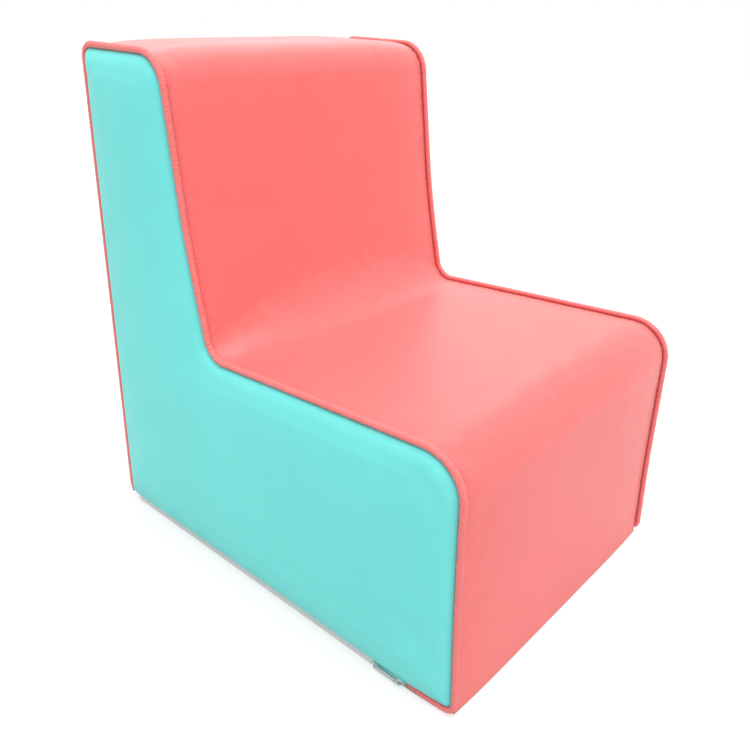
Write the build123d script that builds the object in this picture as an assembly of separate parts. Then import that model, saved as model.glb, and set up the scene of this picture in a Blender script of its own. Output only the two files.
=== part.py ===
from build123d import *
from math import cos, pi, sin
import os

# Child's foam block chair: one contour-cut foam core in a sewn, piped and zipped cover.
# The floor is z = 0, the front faces -Y and the middle of the floor print is the origin.
# Every cross dimension beside a piped seam is given as (u, n): u outward along X from the
# seam plane, n outward from the side outline.

# Overall form, at the seams
seam_width = 414.0  # between the two piped seam planes
depth = 511.0  # front to back, at the foot
back_height = 556.0  # top of the backrest at its front corner
rear_rise = 5.0  # the top's rear corner stands this much higher
seat_front_height = 271.5
seat_rear_height = 259.0
rest_foot_thickness = 171.0  # backrest at seat height
rest_top_thickness = 126.0
front_lean = 12.0  # the front face slopes back by this much up to the nose
foot_radius = 7.5
nose_radius = 44.0
seat_corner_radius = 54.0
top_front_radius = 34.0
top_rear_radius = 10.5
least_radius = 1.5

# Crown of the filled cover
side_crown = 6.0  # side panels, outward
side_reach = 26.0  # distance over which a side panel rolls off to its seam
strip_crown = 6.0  # front, seat, backrest and top, at mid width
back_crown = 3.5
foot_crown = 1.5
corner_bridging = 22.0  # cover spans the seat corner in a wider curve at mid width
hem_reach = 42.0  # distance over which a side panel rolls off to its hem
crown_power = 6  # how flat the strip's crown is over the middle
side_roll = 4.2  # how quickly a side panel rolls off at its seam
crown_steps = 6

# Cover and foam
cover_thickness = 1.2
base_thickness = 0.7
clearance = 0.3
foot_gap = 0.3  # cover's lower edge over the floor
hem_height = 7.4  # lower edge of the side and back panels, above the zip
strip_edge_u = -8.2  # where the strip's skin turns in beside the piping
strip_edge_n = 1.45
panel_edge_n = -0.15  # where a side panel's skin turns in under the piping
panel_edge_depth = 1.8  # thickness of its turned edge, where the cloth bunches
panel_lap = 0.1  # the crowned skin starts this far inside the turned edge
foot_run_on = 10.0  # the strip's form runs on below the floor, so its foot turns in a little
allowance_thickness = 1.0
allowance_length = 6.0
allowance_gap = 0.2
foam_ease = 13.5  # foam's edges are drawn in this far from the seam planes
foam_tip_room = 1.7  # foam's flank starts this far past the allowances
relief_rise = 9.0  # height over which the foam's foot edge is eased
relief_margin = 2.65  # the eased edge ends this far above the zip tape

# Piping
piping_radius = 3.25
piping_wall = 0.9
cord_clearance = 0.1
piping_u = -2.0  # piping's centre, inward of the seam plane
piping_return = 47.0  # run along the front foot, rearwards from the corner
piping_end_height = 8.6  # where it stops above the zip's rear corner

# Zip
zip_height = 4.8  # middle of the chain above the floor
zip_set_back = 1.5  # tape's outer face, inward of the seam plane
zip_corner_radius = 16.0
tape_thickness = 0.5
tape_width = 11.0
tape_gap = 0.1  # between the two closed tape edges
coil_height = 1.6  # each half of the chain
coil_thickness = 1.3
coil_fork = 0.7  # each half moves aside this much at the slider's divider
stop_length = 1.6
stop_wall = 0.5

# Zip slider and pull
slider_length = 10.0
slider_wall = 0.9
slider_face_height = 4.6
slider_corner_radius = 1.5
flange_wall = 0.5
divider_length = 3.0
divider_height = 1.2
fork_length = 5.0  # along the chain, from full fork to closed
loop_length = 6.0
loop_width = 1.4
loop_wall = 0.9
loop_corner_radius = 2.0
pull_length = 31.0
pull_width = 4.6
pull_thickness = 0.9
pull_corner_radius = 1.4
pull_clearance = 0.5  # pull's inner face from the piping that it passes
pull_pin_radius = 0.6
pull_eye_length = 5.0
pull_hole_radius = 1.1
pin_clearance = 0.3

# Zip garage
garage_length = 40.0
garage_height = 6.2
garage_fullness = 0.66  # height of its upper edge half-way, as a share of its peak
garage_nose_radius = 2.4

# Derived places
half_seam = seam_width / 2
half_depth = depth / 2
junction_y = half_depth - rest_foot_thickness
rest_top_y = half_depth - rest_top_thickness
diagonal = 0.5 ** 0.5
piping_centre = Vector(piping_u, piping_radius)
allowance_reach = piping_radius + allowance_length
half_tail = piping_wall - cord_clearance
near_aside = half_tail + allowance_gap
far_aside = near_aside + allowance_thickness
foam_inset = allowance_reach + foam_tip_room
zip_start_y = -half_depth + piping_return + clearance
zip_end_y = zip_start_y + stop_length
tape_top = zip_height + tape_gap / 2 + tape_width
relief_high = tape_top + relief_margin
relief_low = relief_high - relief_rise
tape_outer_u = -zip_set_back
tape_inner_u = tape_outer_u - tape_thickness
coil_outer_u = tape_inner_u - tape_gap
coil_inner_u = coil_outer_u - coil_thickness
slider_nose_y = zip_start_y + stop_length + clearance
slider_rear_y = slider_nose_y + slider_length
fork_end_y = slider_nose_y + fork_length
divider_end_y = slider_nose_y + divider_length
wing_outer_u = tape_outer_u + clearance
wing_inner_u = coil_inner_u - clearance
pivot_y = slider_nose_y + slider_length / 2
pivot_u = piping_u + piping_radius + pull_clearance + pull_thickness / 2


def foot_corner(foot_y, top, floor):
    """Where the line from (foot_y, 0) up to the top corner passes the given floor height."""
    return (foot_y + (top[0] - foot_y) * floor / top[1], floor)


def outline_points(swell=0.0, back=None, front_foot=None, rear_foot=None, floor=hem_height):
    """Corners of the side outline as (y, z), from the front foot round to the rear foot.

    swell moves the front, seat, backrest and top outward. The back's upper end and the
    lower ends of the front and the back take their own amounts, or else the swell.
    """
    back = swell if back is None else back
    front_foot = swell if front_foot is None else front_foot
    rear_foot = swell if rear_foot is None else rear_foot
    nose = (-half_depth + front_lean - swell, seat_front_height + swell)
    top_rear = (half_depth + back, back_height + rear_rise + swell)
    return [
        foot_corner(-half_depth - front_foot, nose, floor),
        nose,
        (junction_y - swell, seat_rear_height + swell),
        (rest_top_y - swell, back_height + swell),
        top_rear,
        foot_corner(half_depth + rear_foot, top_rear, floor),
    ]


def outline_radii(swell=0.0, bridging=0.0):
    """Corner radii of the outline: outer corners grow with the swell, the seat corner shrinks."""
    outer = [foot_radius, nose_radius, top_front_radius, top_rear_radius, foot_radius]
    foot_front, nose, top_front, top_rear, foot_rear = [max(r + swell, least_radius) for r in outer]
    return [foot_front, nose, seat_corner_radius - swell + bridging, top_front, top_rear, foot_rear]


def section(x, swell, bridging=0.0, **ends):
    """Closed outline as a face across X."""
    points = outline_points(swell, **ends)
    wire = FilletPolyline(*points, radius=outline_radii(swell, bridging), close=True)
    return Plane(origin=(x, 0, 0), x_dir=(0, 1, 0), z_dir=(1, 0, 0)) * make_face(wire)


def strip_section(x, shrink, floor):
    """Section of the strip's filled form at x, its surface moved in by shrink.

    The crown is nothing at the strip's edges, rises quickly and is even over the middle.
    """
    crown = 1 - abs(x / (half_seam + strip_edge_u)) ** crown_power
    return section(
        x,
        swell=strip_edge_n + strip_crown * crown - shrink,
        bridging=corner_bridging * crown ** 2,
        back=strip_edge_n + back_crown * crown - shrink,
        front_foot=strip_edge_n + foot_crown * crown - shrink,
        rear_foot=-shrink,
        floor=floor,
    )


def band(edge, shrink, floor):
    """The strip's filled form from -edge to edge, its surface moved in by shrink."""
    shares = [sin(pi / 2 * i / crown_steps) for i in range(-crown_steps, crown_steps + 1)]
    return loft([strip_section(edge * share, shrink, floor) for share in shares], ruled=True)


def dome(shift):
    """The right side's filled form, from its seam out to the crown, moved out by shift.

    Its sections crowd towards the seam, where the panel rolls off.
    """
    rise = side_crown + cover_thickness
    sections = []
    for step in range(crown_steps + 1):
        share = 1 - cos(pi / 2 * step / crown_steps)
        x = half_seam - cover_thickness + rise * (1 - (1 - share) ** side_roll) + shift
        floor = hem_height + hem_reach * share
        inset = panel_lap + side_reach * share
        sections.append(section(x, swell=panel_edge_n - inset, floor=floor))
    return loft(sections, ruled=True)


def seam_path(end_height):
    """The piped seam on the right, from under the front foot up and over to the rear foot."""
    points = outline_points()
    corners = [(-half_depth + piping_return, hem_height), *points[:5], (half_depth, end_height)]
    seam = FilletPolyline(*corners, radius=outline_radii()[:5])
    return Plane(origin=(half_seam, 0, 0), x_dir=(0, 1, 0), z_dir=(1, 0, 0)) * seam


def along_seam(profile, end_height):
    """Sweep a (u, n) profile along the right seam."""
    path = seam_path(end_height)
    start = Plane(origin=path @ 0, x_dir=(1, 0, 0), z_dir=(0, 1, 0))
    return sweep(start * profile, path=path)


def seam_point(inward, aside):
    """A (u, n) point on the seam's bisector: inward from the piping's centre, aside to the panel."""
    return piping_centre + Vector(aside - inward, -aside - inward) * diagonal


def level_point(n, aside):
    """The (u, n) point at height n on the line that runs aside of the seam's bisector."""
    return (piping_u + 2 * aside * diagonal - (piping_radius - n), n)


def to_left(part):
    """The mirrored piece of the left side."""
    return mirror(part, about=Plane.YZ)


def along_zip(profile, start_y=zip_start_y, end_y=zip_end_y):
    """Sweep a (u, z) profile along the zip's route in plan: left, back and right foot."""
    corners = [
        (-half_seam, start_y),
        (-half_seam, half_depth),
        (half_seam, half_depth),
        (half_seam, end_y),
    ]
    path = FilletPolyline(*corners, radius=zip_corner_radius)
    start = Plane(origin=path @ 0, x_dir=(-1, 0, 0), z_dir=(0, 1, 0))
    return sweep(start * profile, path=path)


def on_left(outline, inner_u, outer_u):
    """A (y, z) outline on the left side, made solid from inner_u out to outer_u."""
    plane = Plane(origin=(-half_seam - inner_u, 0, 0), x_dir=(0, 1, 0), z_dir=(1, 0, 0))
    return extrude(plane * outline, -(outer_u - inner_u))


def polygon(*points):
    """Closed straight-edged face."""
    return make_face(Polyline(*points, close=True))


def rectangle(low, high):
    """Rectangle between two opposite corners."""
    return polygon(low, (high[0], low[1]), high, (low[0], high[1]))


def make_foam_core():
    """L-shaped block with eased edges that leave room for the seam allowances and the zip."""
    shrink = cover_thickness + clearance
    edge = half_seam - foam_ease
    floor = base_thickness + clearance + tape_gap
    side = section(half_seam - shrink, swell=-foam_inset, floor=hem_height + foam_inset)
    cap_inset = side_reach + cover_thickness
    cap = section(half_seam + side_crown - shrink, swell=-cap_inset, floor=hem_height + hem_reach)
    flank = loft([strip_section(edge, shrink, floor), side, cap], ruled=True)
    block = band(edge, shrink, floor) + flank + to_left(flank)
    relief = polygon(
        (-foam_ease, 0),
        (-foam_ease, relief_low),
        (tape_outer_u, relief_high),
        (side_crown + clearance, relief_high),
        (side_crown + clearance, 0),
    )
    front_y = -half_depth - strip_crown
    return block - along_zip(relief, start_y=front_y, end_y=front_y)


def make_main_strip():
    """Front, seat, backrest, top and back in one run, with its edges turned in at the piping."""
    edge = half_seam + strip_edge_u
    shell = band(edge, 0, -foot_run_on) - band(edge, cover_thickness, cover_thickness - foot_run_on)
    below = (Align.CENTER, Align.CENTER, Align.MAX)
    under = Box(seam_width, 2 * depth, 2 * foot_run_on, align=below)
    shell -= Pos(0, 0, foot_gap) * under
    shell -= Pos(0, depth, hem_height) * under
    turn = polygon(
        (strip_edge_u - cover_thickness, strip_edge_n),
        seam_point(piping_radius + near_aside, -far_aside),
        seam_point(piping_radius + near_aside, -near_aside),
        seam_point(allowance_reach, -near_aside),
        seam_point(allowance_reach, -far_aside),
        (strip_edge_u - cover_thickness, strip_edge_n - cover_thickness),
    )
    turned = along_seam(turn, tape_top + clearance)
    return shell + turned + to_left(turned)


def make_side_panel():
    """Right side panel: a crowned skin with its edge turned in below the piping."""
    skin = dome(0) - dome(-cover_thickness)
    turn_n = panel_edge_n - panel_edge_depth
    turn = polygon(
        (-cover_thickness / 2, panel_edge_n),
        level_point(panel_edge_n, near_aside),
        seam_point(allowance_reach, near_aside),
        seam_point(allowance_reach, far_aside),
        level_point(turn_n, far_aside),
        (0, turn_n),
    )
    return skin + along_seam(turn, tape_top + clearance)


def make_piping_sleeve():
    """Right piping: a covered tube with its two-layer tail between the seam allowances."""
    ring = Circle(piping_radius) - Circle(piping_radius - piping_wall)
    tail_start = piping_radius - piping_wall / 2
    tail = polygon(
        seam_point(tail_start, -half_tail),
        seam_point(allowance_reach, -half_tail),
        seam_point(allowance_reach, half_tail),
        seam_point(tail_start, half_tail),
    )
    tube = along_seam(Pos(piping_centre) * ring, piping_end_height)
    return tube + along_seam(tail, tape_top + clearance)


def make_piping_cord():
    """Right filler cord inside the sleeve."""
    cord = Circle(piping_radius - piping_wall - cord_clearance)
    return along_seam(Pos(piping_centre) * cord, piping_end_height)


def make_base_panel():
    """Flat base cloth under the foam, from the strip's front foot to the zip at the sides and back."""
    half_x = half_seam - zip_set_back
    front_y = -half_depth - strip_edge_n + cover_thickness + clearance
    outline = rectangle((-half_x, front_y), (half_x, half_depth - zip_set_back))
    outline = fillet(outline.vertices().group_by(Axis.Y)[-1], zip_corner_radius - zip_set_back)
    outline = fillet(outline.vertices().group_by(Axis.Y)[0], foot_radius)
    return extrude(outline, base_thickness)


def fork_outline(near, far):
    """The chain's forked run between heights near and far, counted from its middle."""
    aside = coil_fork if far > 0 else -coil_fork
    full_y = divider_end_y + clearance
    return polygon(
        (zip_start_y, zip_height + near + aside),
        (full_y, zip_height + near + aside),
        (fork_end_y, zip_height + near),
        (fork_end_y, zip_height + far),
        (full_y, zip_height + far + aside),
        (zip_start_y, zip_height + far + aside),
    )


def divider_room():
    """The space between the two tapes that the slider's divider needs at rest."""
    aside = coil_fork + tape_gap / 2
    full_y = divider_end_y + clearance
    room = polygon(
        (zip_start_y - clearance, zip_height - aside),
        (full_y, zip_height - aside),
        (fork_end_y, zip_height),
        (full_y, zip_height + aside),
        (zip_start_y - clearance, zip_height + aside),
    )
    return on_left(room, coil_inner_u, 0)


def make_tape_upper():
    """Upper tape, its top edge sewn behind the hem."""
    low = zip_height + tape_gap / 2
    return along_zip(rectangle((tape_inner_u, low), (tape_outer_u, tape_top))) - divider_room()


def make_tape_lower():
    """Lower tape, turned in under the foam and sewn to the base panel."""
    low = base_thickness + tape_gap
    high = zip_height - tape_gap / 2
    leg_u = tape_inner_u - (tape_width - (high - low))
    profile = polygon(
        (tape_outer_u, low),
        (tape_outer_u, high),
        (tape_inner_u, high),
        (tape_inner_u, low + tape_thickness),
        (leg_u, low + tape_thickness),
        (leg_u, low),
    )
    return along_zip(profile) - divider_room()


def make_coil(side):
    """Half of the chain on the tape's inner face: side is 1 for the upper one, -1 for the lower.

    It runs closed round the foot and is forked aside at the slider's nose.
    """
    near = side * tape_gap / 2
    far = near + side * coil_height
    closed = rectangle((coil_inner_u, zip_height + near), (coil_outer_u, zip_height + far))
    run = along_zip(closed, start_y=fork_end_y)
    return run + on_left(fork_outline(near, far), coil_inner_u, coil_outer_u)


def make_top_stops():
    """A clip pinched round the front end of each half of the chain."""
    stops = []
    for side in (1, -1):
        near = zip_height + side * (tape_gap / 2 + coil_fork)
        far = near + side * coil_height
        rear_y = zip_start_y + stop_length
        block = rectangle((zip_start_y, near - side * stop_wall), (rear_y, far))
        held = rectangle((zip_start_y, near), (rear_y, far))
        clip = on_left(block, coil_inner_u - stop_wall, tape_outer_u + stop_wall)
        stops.append(clip - on_left(held, coil_inner_u, tape_outer_u))
    return Compound(children=stops)


def make_bottom_stop():
    """A clip over the closed chain's end on the right."""
    half = tape_gap / 2 + coil_height + stop_wall
    low, high = zip_height - half, zip_height + half
    block = rectangle((zip_end_y - stop_wall, low), (zip_end_y + stop_length, high))
    held = rectangle((zip_end_y, low), (zip_end_y + stop_length, high))
    clip = on_left(block, coil_inner_u - stop_wall, tape_outer_u + stop_wall)
    return to_left(clip - on_left(held, coil_inner_u, tape_outer_u))


def channel_outline(wall):
    """Outline round the forked and the closed chain inside the slider, widened by wall."""
    closed = tape_gap / 2 + coil_height + clearance + wall
    forked = closed + coil_fork
    return polygon(
        (slider_nose_y, zip_height - forked),
        (divider_end_y, zip_height - forked),
        (fork_end_y + clearance, zip_height - closed),
        (slider_rear_y, zip_height - closed),
        (slider_rear_y, zip_height + closed),
        (fork_end_y + clearance, zip_height + closed),
        (divider_end_y, zip_height + forked),
        (slider_nose_y, zip_height + forked),
    )


def make_slider():
    """Slider: an inner wing with flanges, a divider, an outer wing and the loop for the pull."""
    inner_wing = on_left(channel_outline(flange_wall), wing_inner_u - slider_wall, wing_inner_u)
    flange_ring = on_left(channel_outline(flange_wall), wing_inner_u, tape_inner_u - clearance)
    flange_ring -= on_left(channel_outline(0), wing_inner_u, tape_inner_u - clearance)
    low, high = zip_height - divider_height / 2, zip_height + divider_height / 2
    divider_outline = rectangle((slider_nose_y, low), (divider_end_y, high))
    divider = on_left(divider_outline, wing_inner_u, wing_outer_u)
    face = RectangleRounded(slider_length, slider_face_height, slider_corner_radius)
    face = Pos((slider_nose_y + slider_rear_y) / 2, zip_height) * face
    outer_wing = on_left(face, wing_outer_u, wing_outer_u + slider_wall)
    return inner_wing + flange_ring + divider + outer_wing + make_pull_loop()


def make_pull_loop():
    """Arched loop on the slider's outer wing, its eye round the pull's pin."""
    eye_radius = pull_pin_radius + pin_clearance
    top_u = pivot_u + eye_radius + loop_wall
    foot_u = wing_outer_u + slider_wall / 2
    face = Rectangle(loop_length, top_u - foot_u, align=(Align.CENTER, Align.MIN))
    face = fillet(face.vertices().group_by(Axis.Y)[-1], loop_corner_radius)
    face -= Pos(0, pivot_u - foot_u) * Circle(eye_radius)
    foot = (-half_seam - foot_u, pivot_y, zip_height - loop_width / 2)
    return extrude(Plane(origin=foot, x_dir=(0, 1, 0), z_dir=(0, 0, 1)) * face, loop_width)


def make_pull():
    """Flat pull with a window round the slider's loop and a round pin across the window.

    The pin ends half-way through the cheeks on both sides of the window.
    """
    half_window = loop_width / 2 + pin_clearance
    half_pull = pull_thickness / 2
    face = Pos(pull_length / 2, 0) * RectangleRounded(pull_length, pull_width, pull_corner_radius)
    face -= Pos(pull_eye_length / 2, 0) * Rectangle(pull_eye_length, 2 * half_window)
    face -= Pos(pull_length - pull_width / 2, 0) * Circle(pull_hole_radius)
    blade = on_left(Pos(pivot_y, zip_height) * face, pivot_u - half_pull, pivot_u + half_pull)
    pin = Cylinder(pull_pin_radius, half_window + pull_width / 2)
    return blade + Pos(-half_seam - pivot_u, pivot_y, zip_height) * pin


def make_garage():
    """Small flap on the left panel over the zip's front end, rounded at the front."""
    front_y = slider_nose_y - stop_length
    rear_y = front_y + garage_length
    top = hem_height + garage_height
    peak = (front_y + garage_nose_radius, top)
    half_way = ((rear_y + peak[0]) / 2, hem_height + garage_height * garage_fullness)
    nose_foot = (front_y, top - garage_nose_radius)
    lens = make_face([
        Line((front_y, hem_height), (rear_y, hem_height)),
        ThreePointArc((rear_y, hem_height), half_way, peak),
        RadiusArc(peak, nose_foot, garage_nose_radius),
        Line(nose_foot, (front_y, hem_height)),
    ])
    skin = dome(clearance + cover_thickness) - dome(clearance)
    return to_left(skin) & on_left(lens, -cover_thickness, side_crown)


def main():
    """Build every piece and write it under its own name."""
    os.makedirs("parts", exist_ok=True)
    side_panel = make_side_panel()
    sleeve = make_piping_sleeve()
    cord = make_piping_cord()
    pieces = {
        "foam_core": make_foam_core(),
        "main_strip": make_main_strip(),
        "side_panel_right": side_panel,
        "side_panel_left": to_left(side_panel),
        "piping_sleeve_right": sleeve,
        "piping_sleeve_left": to_left(sleeve),
        "piping_cord_right": cord,
        "piping_cord_left": to_left(cord),
        "base_panel": make_base_panel(),
        "zip_tape_upper": make_tape_upper(),
        "zip_tape_lower": make_tape_lower(),
        "zip_coil_upper": make_coil(1),
        "zip_coil_lower": make_coil(-1),
        "zip_top_stops": make_top_stops(),
        "zip_bottom_stop": make_bottom_stop(),
        "zip_slider": make_slider(),
        "zip_pull": make_pull(),
        "zip_garage": make_garage(),
    }
    for name, piece in pieces.items():
        export_step(piece, f"parts/{name}.step")
        print(name, "volume", round(piece.volume / 1000, 2), "cm3, solids", len(piece.solids()))


if __name__ == "__main__":
    main()
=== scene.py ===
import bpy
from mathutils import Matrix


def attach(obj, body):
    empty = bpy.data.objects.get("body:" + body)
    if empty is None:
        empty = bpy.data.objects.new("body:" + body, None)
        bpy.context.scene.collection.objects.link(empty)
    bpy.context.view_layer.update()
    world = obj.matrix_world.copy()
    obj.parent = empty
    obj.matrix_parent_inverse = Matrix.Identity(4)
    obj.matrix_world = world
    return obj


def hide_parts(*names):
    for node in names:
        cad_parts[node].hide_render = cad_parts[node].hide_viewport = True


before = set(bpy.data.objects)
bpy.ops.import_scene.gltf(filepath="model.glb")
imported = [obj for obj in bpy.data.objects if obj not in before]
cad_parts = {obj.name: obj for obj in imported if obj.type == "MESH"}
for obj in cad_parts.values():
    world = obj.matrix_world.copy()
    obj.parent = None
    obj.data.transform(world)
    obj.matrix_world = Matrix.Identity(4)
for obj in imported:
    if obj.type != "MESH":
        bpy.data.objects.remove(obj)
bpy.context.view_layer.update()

# Looks of the child's foam block chair: the sewn cover with its piping, the zip round the foot and
# what is inside. Everything is in metres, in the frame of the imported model: the floor is z = 0,
# the front faces -Y and the zip's slider is at the left front, on the -X side.
import logging
import math
from dataclasses import dataclass
from enum import Enum
from typing import Mapping, Sequence

import bmesh
import bpy
import numpy as np

log = logging.getLogger("chair")


class Side(Enum):
    """Which side of the chair a piece is on; the value is the sign of its x."""

    LEFT = -1
    RIGHT = 1

    @property
    def word(self) -> str:
        """The side's name as the nodes spell it."""
        return self.name.lower()


class Half(Enum):
    """Which half of the zip a piece belongs to; the value is the sign of its height over the middle."""

    LOWER = -1
    UPPER = 1

    @property
    def word(self) -> str:
        """The half's name as the nodes spell it."""
        return self.name.lower()


class Weave(Enum):
    """How a cloth's surface is patterned."""

    COATED = "coated"
    PIPING = "piping"
    HERRINGBONE = "herringbone"
    EMBOSSED = "embossed"
    TWISTED = "twisted"


# Shader maths


class Sock:
    """An output socket inside an expression; its operators add Math nodes."""

    def __init__(self, graph: "Graph", socket: bpy.types.NodeSocket) -> None:
        """Wraps one output socket of a graph."""
        self.graph = graph
        self.socket = socket

    def math(self, operation: str, *values: "Value") -> "Sock":
        """One Math node.

        Args:
            operation: the node's operation.
            values: its inputs, in order.

        Returns:
            The node's result.
        """
        settings = {"operation": operation}
        return self.graph.node("ShaderNodeMath", settings, dict(enumerate(values)))[0]

    def __add__(self, other: "Value") -> "Sock":
        """self + other."""
        return self.math("ADD", self, other)

    __radd__ = __add__

    def __sub__(self, other: "Value") -> "Sock":
        """self - other."""
        return self.math("SUBTRACT", self, other)

    def __rsub__(self, other: "Value") -> "Sock":
        """other - self."""
        return self.math("SUBTRACT", other, self)

    def __mul__(self, other: "Value") -> "Sock":
        """self * other."""
        return self.math("MULTIPLY", self, other)

    __rmul__ = __mul__

    def __truediv__(self, other: "Value") -> "Sock":
        """self / other."""
        return self.math("DIVIDE", self, other)

    def __pow__(self, other: "Value") -> "Sock":
        """self to the power of other."""
        return self.math("POWER", self, other)

    def sine(self) -> "Sock":
        """Sine of the value, in radians."""
        return self.math("SINE", self)

    def size(self) -> "Sock":
        """The value without its sign."""
        return self.math("ABSOLUTE", self)

    def wave(self) -> "Sock":
        """Triangle wave from 0 to 1, with a period of 1."""
        return self.math("PINGPONG", self, 0.5) * 2

    def step(self, start: float, end: float) -> "Sock":
        """Smooth step: 0 before start, 1 after end."""
        inputs = {"Value": self, "From Min": start, "From Max": end}
        return self.graph.node("ShaderNodeMapRange", {"interpolation_type": "SMOOTHSTEP"}, inputs)[0]


Value = Sock | float
Colour = tuple[float, float, float]


class Made:
    """A node that was added; its outputs are read by name or number."""

    def __init__(self, graph: "Graph", node: bpy.types.Node) -> None:
        """Wraps one node of a graph."""
        self.graph = graph
        self.node = node

    def __getitem__(self, key: str | int) -> Sock:
        """The output of that name or number."""
        return Sock(self.graph, self.node.outputs[key])


class Graph:
    """The nodes of one material or world."""

    def __init__(self, tree: bpy.types.NodeTree) -> None:
        """Empties a node tree to fill it anew."""
        self.tree = tree
        tree.nodes.clear()

    def node(self, kind: str, settings: Mapping = {}, sockets: Mapping = {}) -> Made:
        """Adds any node.

        Args:
            kind: the node's type.
            settings: its properties, set first.
            sockets: a value or a link for each input, by name or number.

        Returns:
            The node, with its outputs.
        """
        node = self.tree.nodes.new(kind)
        for name, value in settings.items():
            setattr(node, name, value)
        for name, value in sockets.items():
            if isinstance(value, Sock):
                self.tree.links.new(value.socket, node.inputs[name])
            elif isinstance(value, tuple) and node.inputs[name].type == "RGBA":
                node.inputs[name].default_value = (*value, 1.0)
            else:
                node.inputs[name].default_value = value
        return Made(self, node)

    def mix(self, share: Value, first: Sock | Colour, second: Sock | Colour) -> Sock:
        """The colour that goes from first, at share 0, to second, at share 1."""
        sockets = {0: share, 6: first, 7: second}
        return self.node("ShaderNodeMix", {"data_type": "RGBA"}, sockets)[2]

    def noise(self, place: Sock, scale: float, detail: float = 2.0) -> Sock:
        """Noise from 0 to 1 about 0.5, with scale features in a metre."""
        sockets = {"Vector": place, "Scale": scale, "Detail": detail}
        return self.node("ShaderNodeTexNoise", {}, sockets)["Fac"]

    def place(self) -> Sock:
        """Object coordinates, which are the frame's."""
        return self.node("ShaderNodeTexCoord")["Object"]

    def along(self) -> tuple[Sock, Sock]:
        """The piece's own map, in metres across and along it."""
        flat = self.node("ShaderNodeTexCoord")["UV"]
        parts = self.node("ShaderNodeSeparateXYZ", {}, {0: flat})
        return parts["X"], parts["Y"]

    def attribute(self, name: str) -> Sock:
        """A number that the mesh holds at each point."""
        return self.node("ShaderNodeAttribute", {"attribute_name": name}, {})["Fac"]


# Finishes


def new_material(name: str) -> tuple[bpy.types.Material, Graph]:
    """A material with an empty node tree, and the graph that fills it.

    Args:
        name: the material's name.

    Returns:
        The material and its graph.
    """
    material = bpy.data.materials.new(name)
    material.use_nodes = True
    return material, Graph(material.node_tree)


@dataclass(frozen=True)
class ClothFinish:
    """A sewn cloth's finish.

    colour is the cloth's own. thread is the pitch of its pattern, relief the pattern's height.
    shade is how far the painted seam shade darkens it, and worn how far rubbed places lighten it.
    """

    name: str
    colour: Colour
    weave: Weave
    thread: float = 0.0007
    relief: float = 0.00003
    roughness: float = 0.55
    sheen: float = 0.2
    shade: float = 0.35
    worn: float = 0.04
    gloss: float = 0.35

    def pattern(self, graph: Graph) -> Sock:
        """Height of the cloth's pattern, from 0 to about 1.

        Threads cross as sin(turn u) sin(turn v), with turn = 2 pi / thread; a herringbone's ribs
        are triangle waves that lean one way and the other; a twisted cord's lie aslant.

        Args:
            graph: the material's graph.

        Returns:
            The height.
        """
        across, along = graph.along()
        turn = 2 * math.pi / self.thread
        if self.weave is Weave.HERRINGBONE:
            rib = (across / self.thread + (along / (6 * self.thread)).wave() * 3).wave()
            return rib * 0.8 + graph.noise(graph.place(), 1800.0) * 0.2
        if self.weave is Weave.EMBOSSED:
            dots = (across * turn).sine() * (along * turn).sine()
            return dots.size() ** 3 * -0.8 + graph.noise(graph.place(), 1200.0, 4.0)
        if self.weave is Weave.TWISTED:
            return (along / self.thread + across * 55).wave()
        threads = (across * turn).sine() * (along * turn).sine()
        grain = graph.noise(graph.place(), 1500.0, 3.0)
        return threads * 0.25 + grain * 0.75

    def colour_of(self, graph: Graph) -> Sock:
        """The cloth's colour with its soft variation, painted shade along its seams and its rubbed
        places.

        Args:
            graph: the material's graph.

        Returns:
            The colour.
        """
        place = graph.place()
        deep = tuple(part * 0.93 for part in self.colour)
        pale = tuple(part + (1 - part) * self.worn for part in self.colour)
        cloudy = graph.noise(place, 7.0, 3.0).step(0.35, 0.65)
        mottled = graph.noise(place, 900.0, 2.0).step(0.3, 0.7)
        body = graph.mix(cloudy * 0.4 + mottled * 0.15, self.colour, deep)
        rubbed = graph.attribute("wear") * graph.noise(place, 60.0, 4.0).step(0.35, 0.75)
        body = graph.mix(rubbed, body, pale)
        # Painted shade: the seam attribute darkens the colour towards the seams, where their valleys lie
        # in shadow.
        painted_seam_shade = tuple(part * (1 - self.shade) for part in self.colour)
        return graph.mix(graph.attribute("seam"), body, painted_seam_shade)

    def material(self) -> bpy.types.Material:
        """Builds the material.

        Returns:
            The material.
        """
        material, graph = new_material(self.name)
        grain = self.pattern(graph)
        rough = graph.noise(graph.place(), 40.0, 3.0) * 0.12 + (self.roughness - 0.06)
        settings = {"Height": grain, "Strength": 0.6, "Distance": self.relief}
        bump = graph.node("ShaderNodeBump", {}, settings)
        sockets = {
            "Base Color": self.colour_of(graph),
            "Roughness": rough,
            "Normal": bump[0],
            "Sheen Weight": self.sheen,
            "Sheen Roughness": 0.45,
            "Specular IOR Level": self.gloss,
        }
        shader = graph.node("ShaderNodeBsdfPrincipled", {}, sockets)
        graph.node("ShaderNodeOutputMaterial", {}, {"Surface": shader[0]})
        return material


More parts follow.
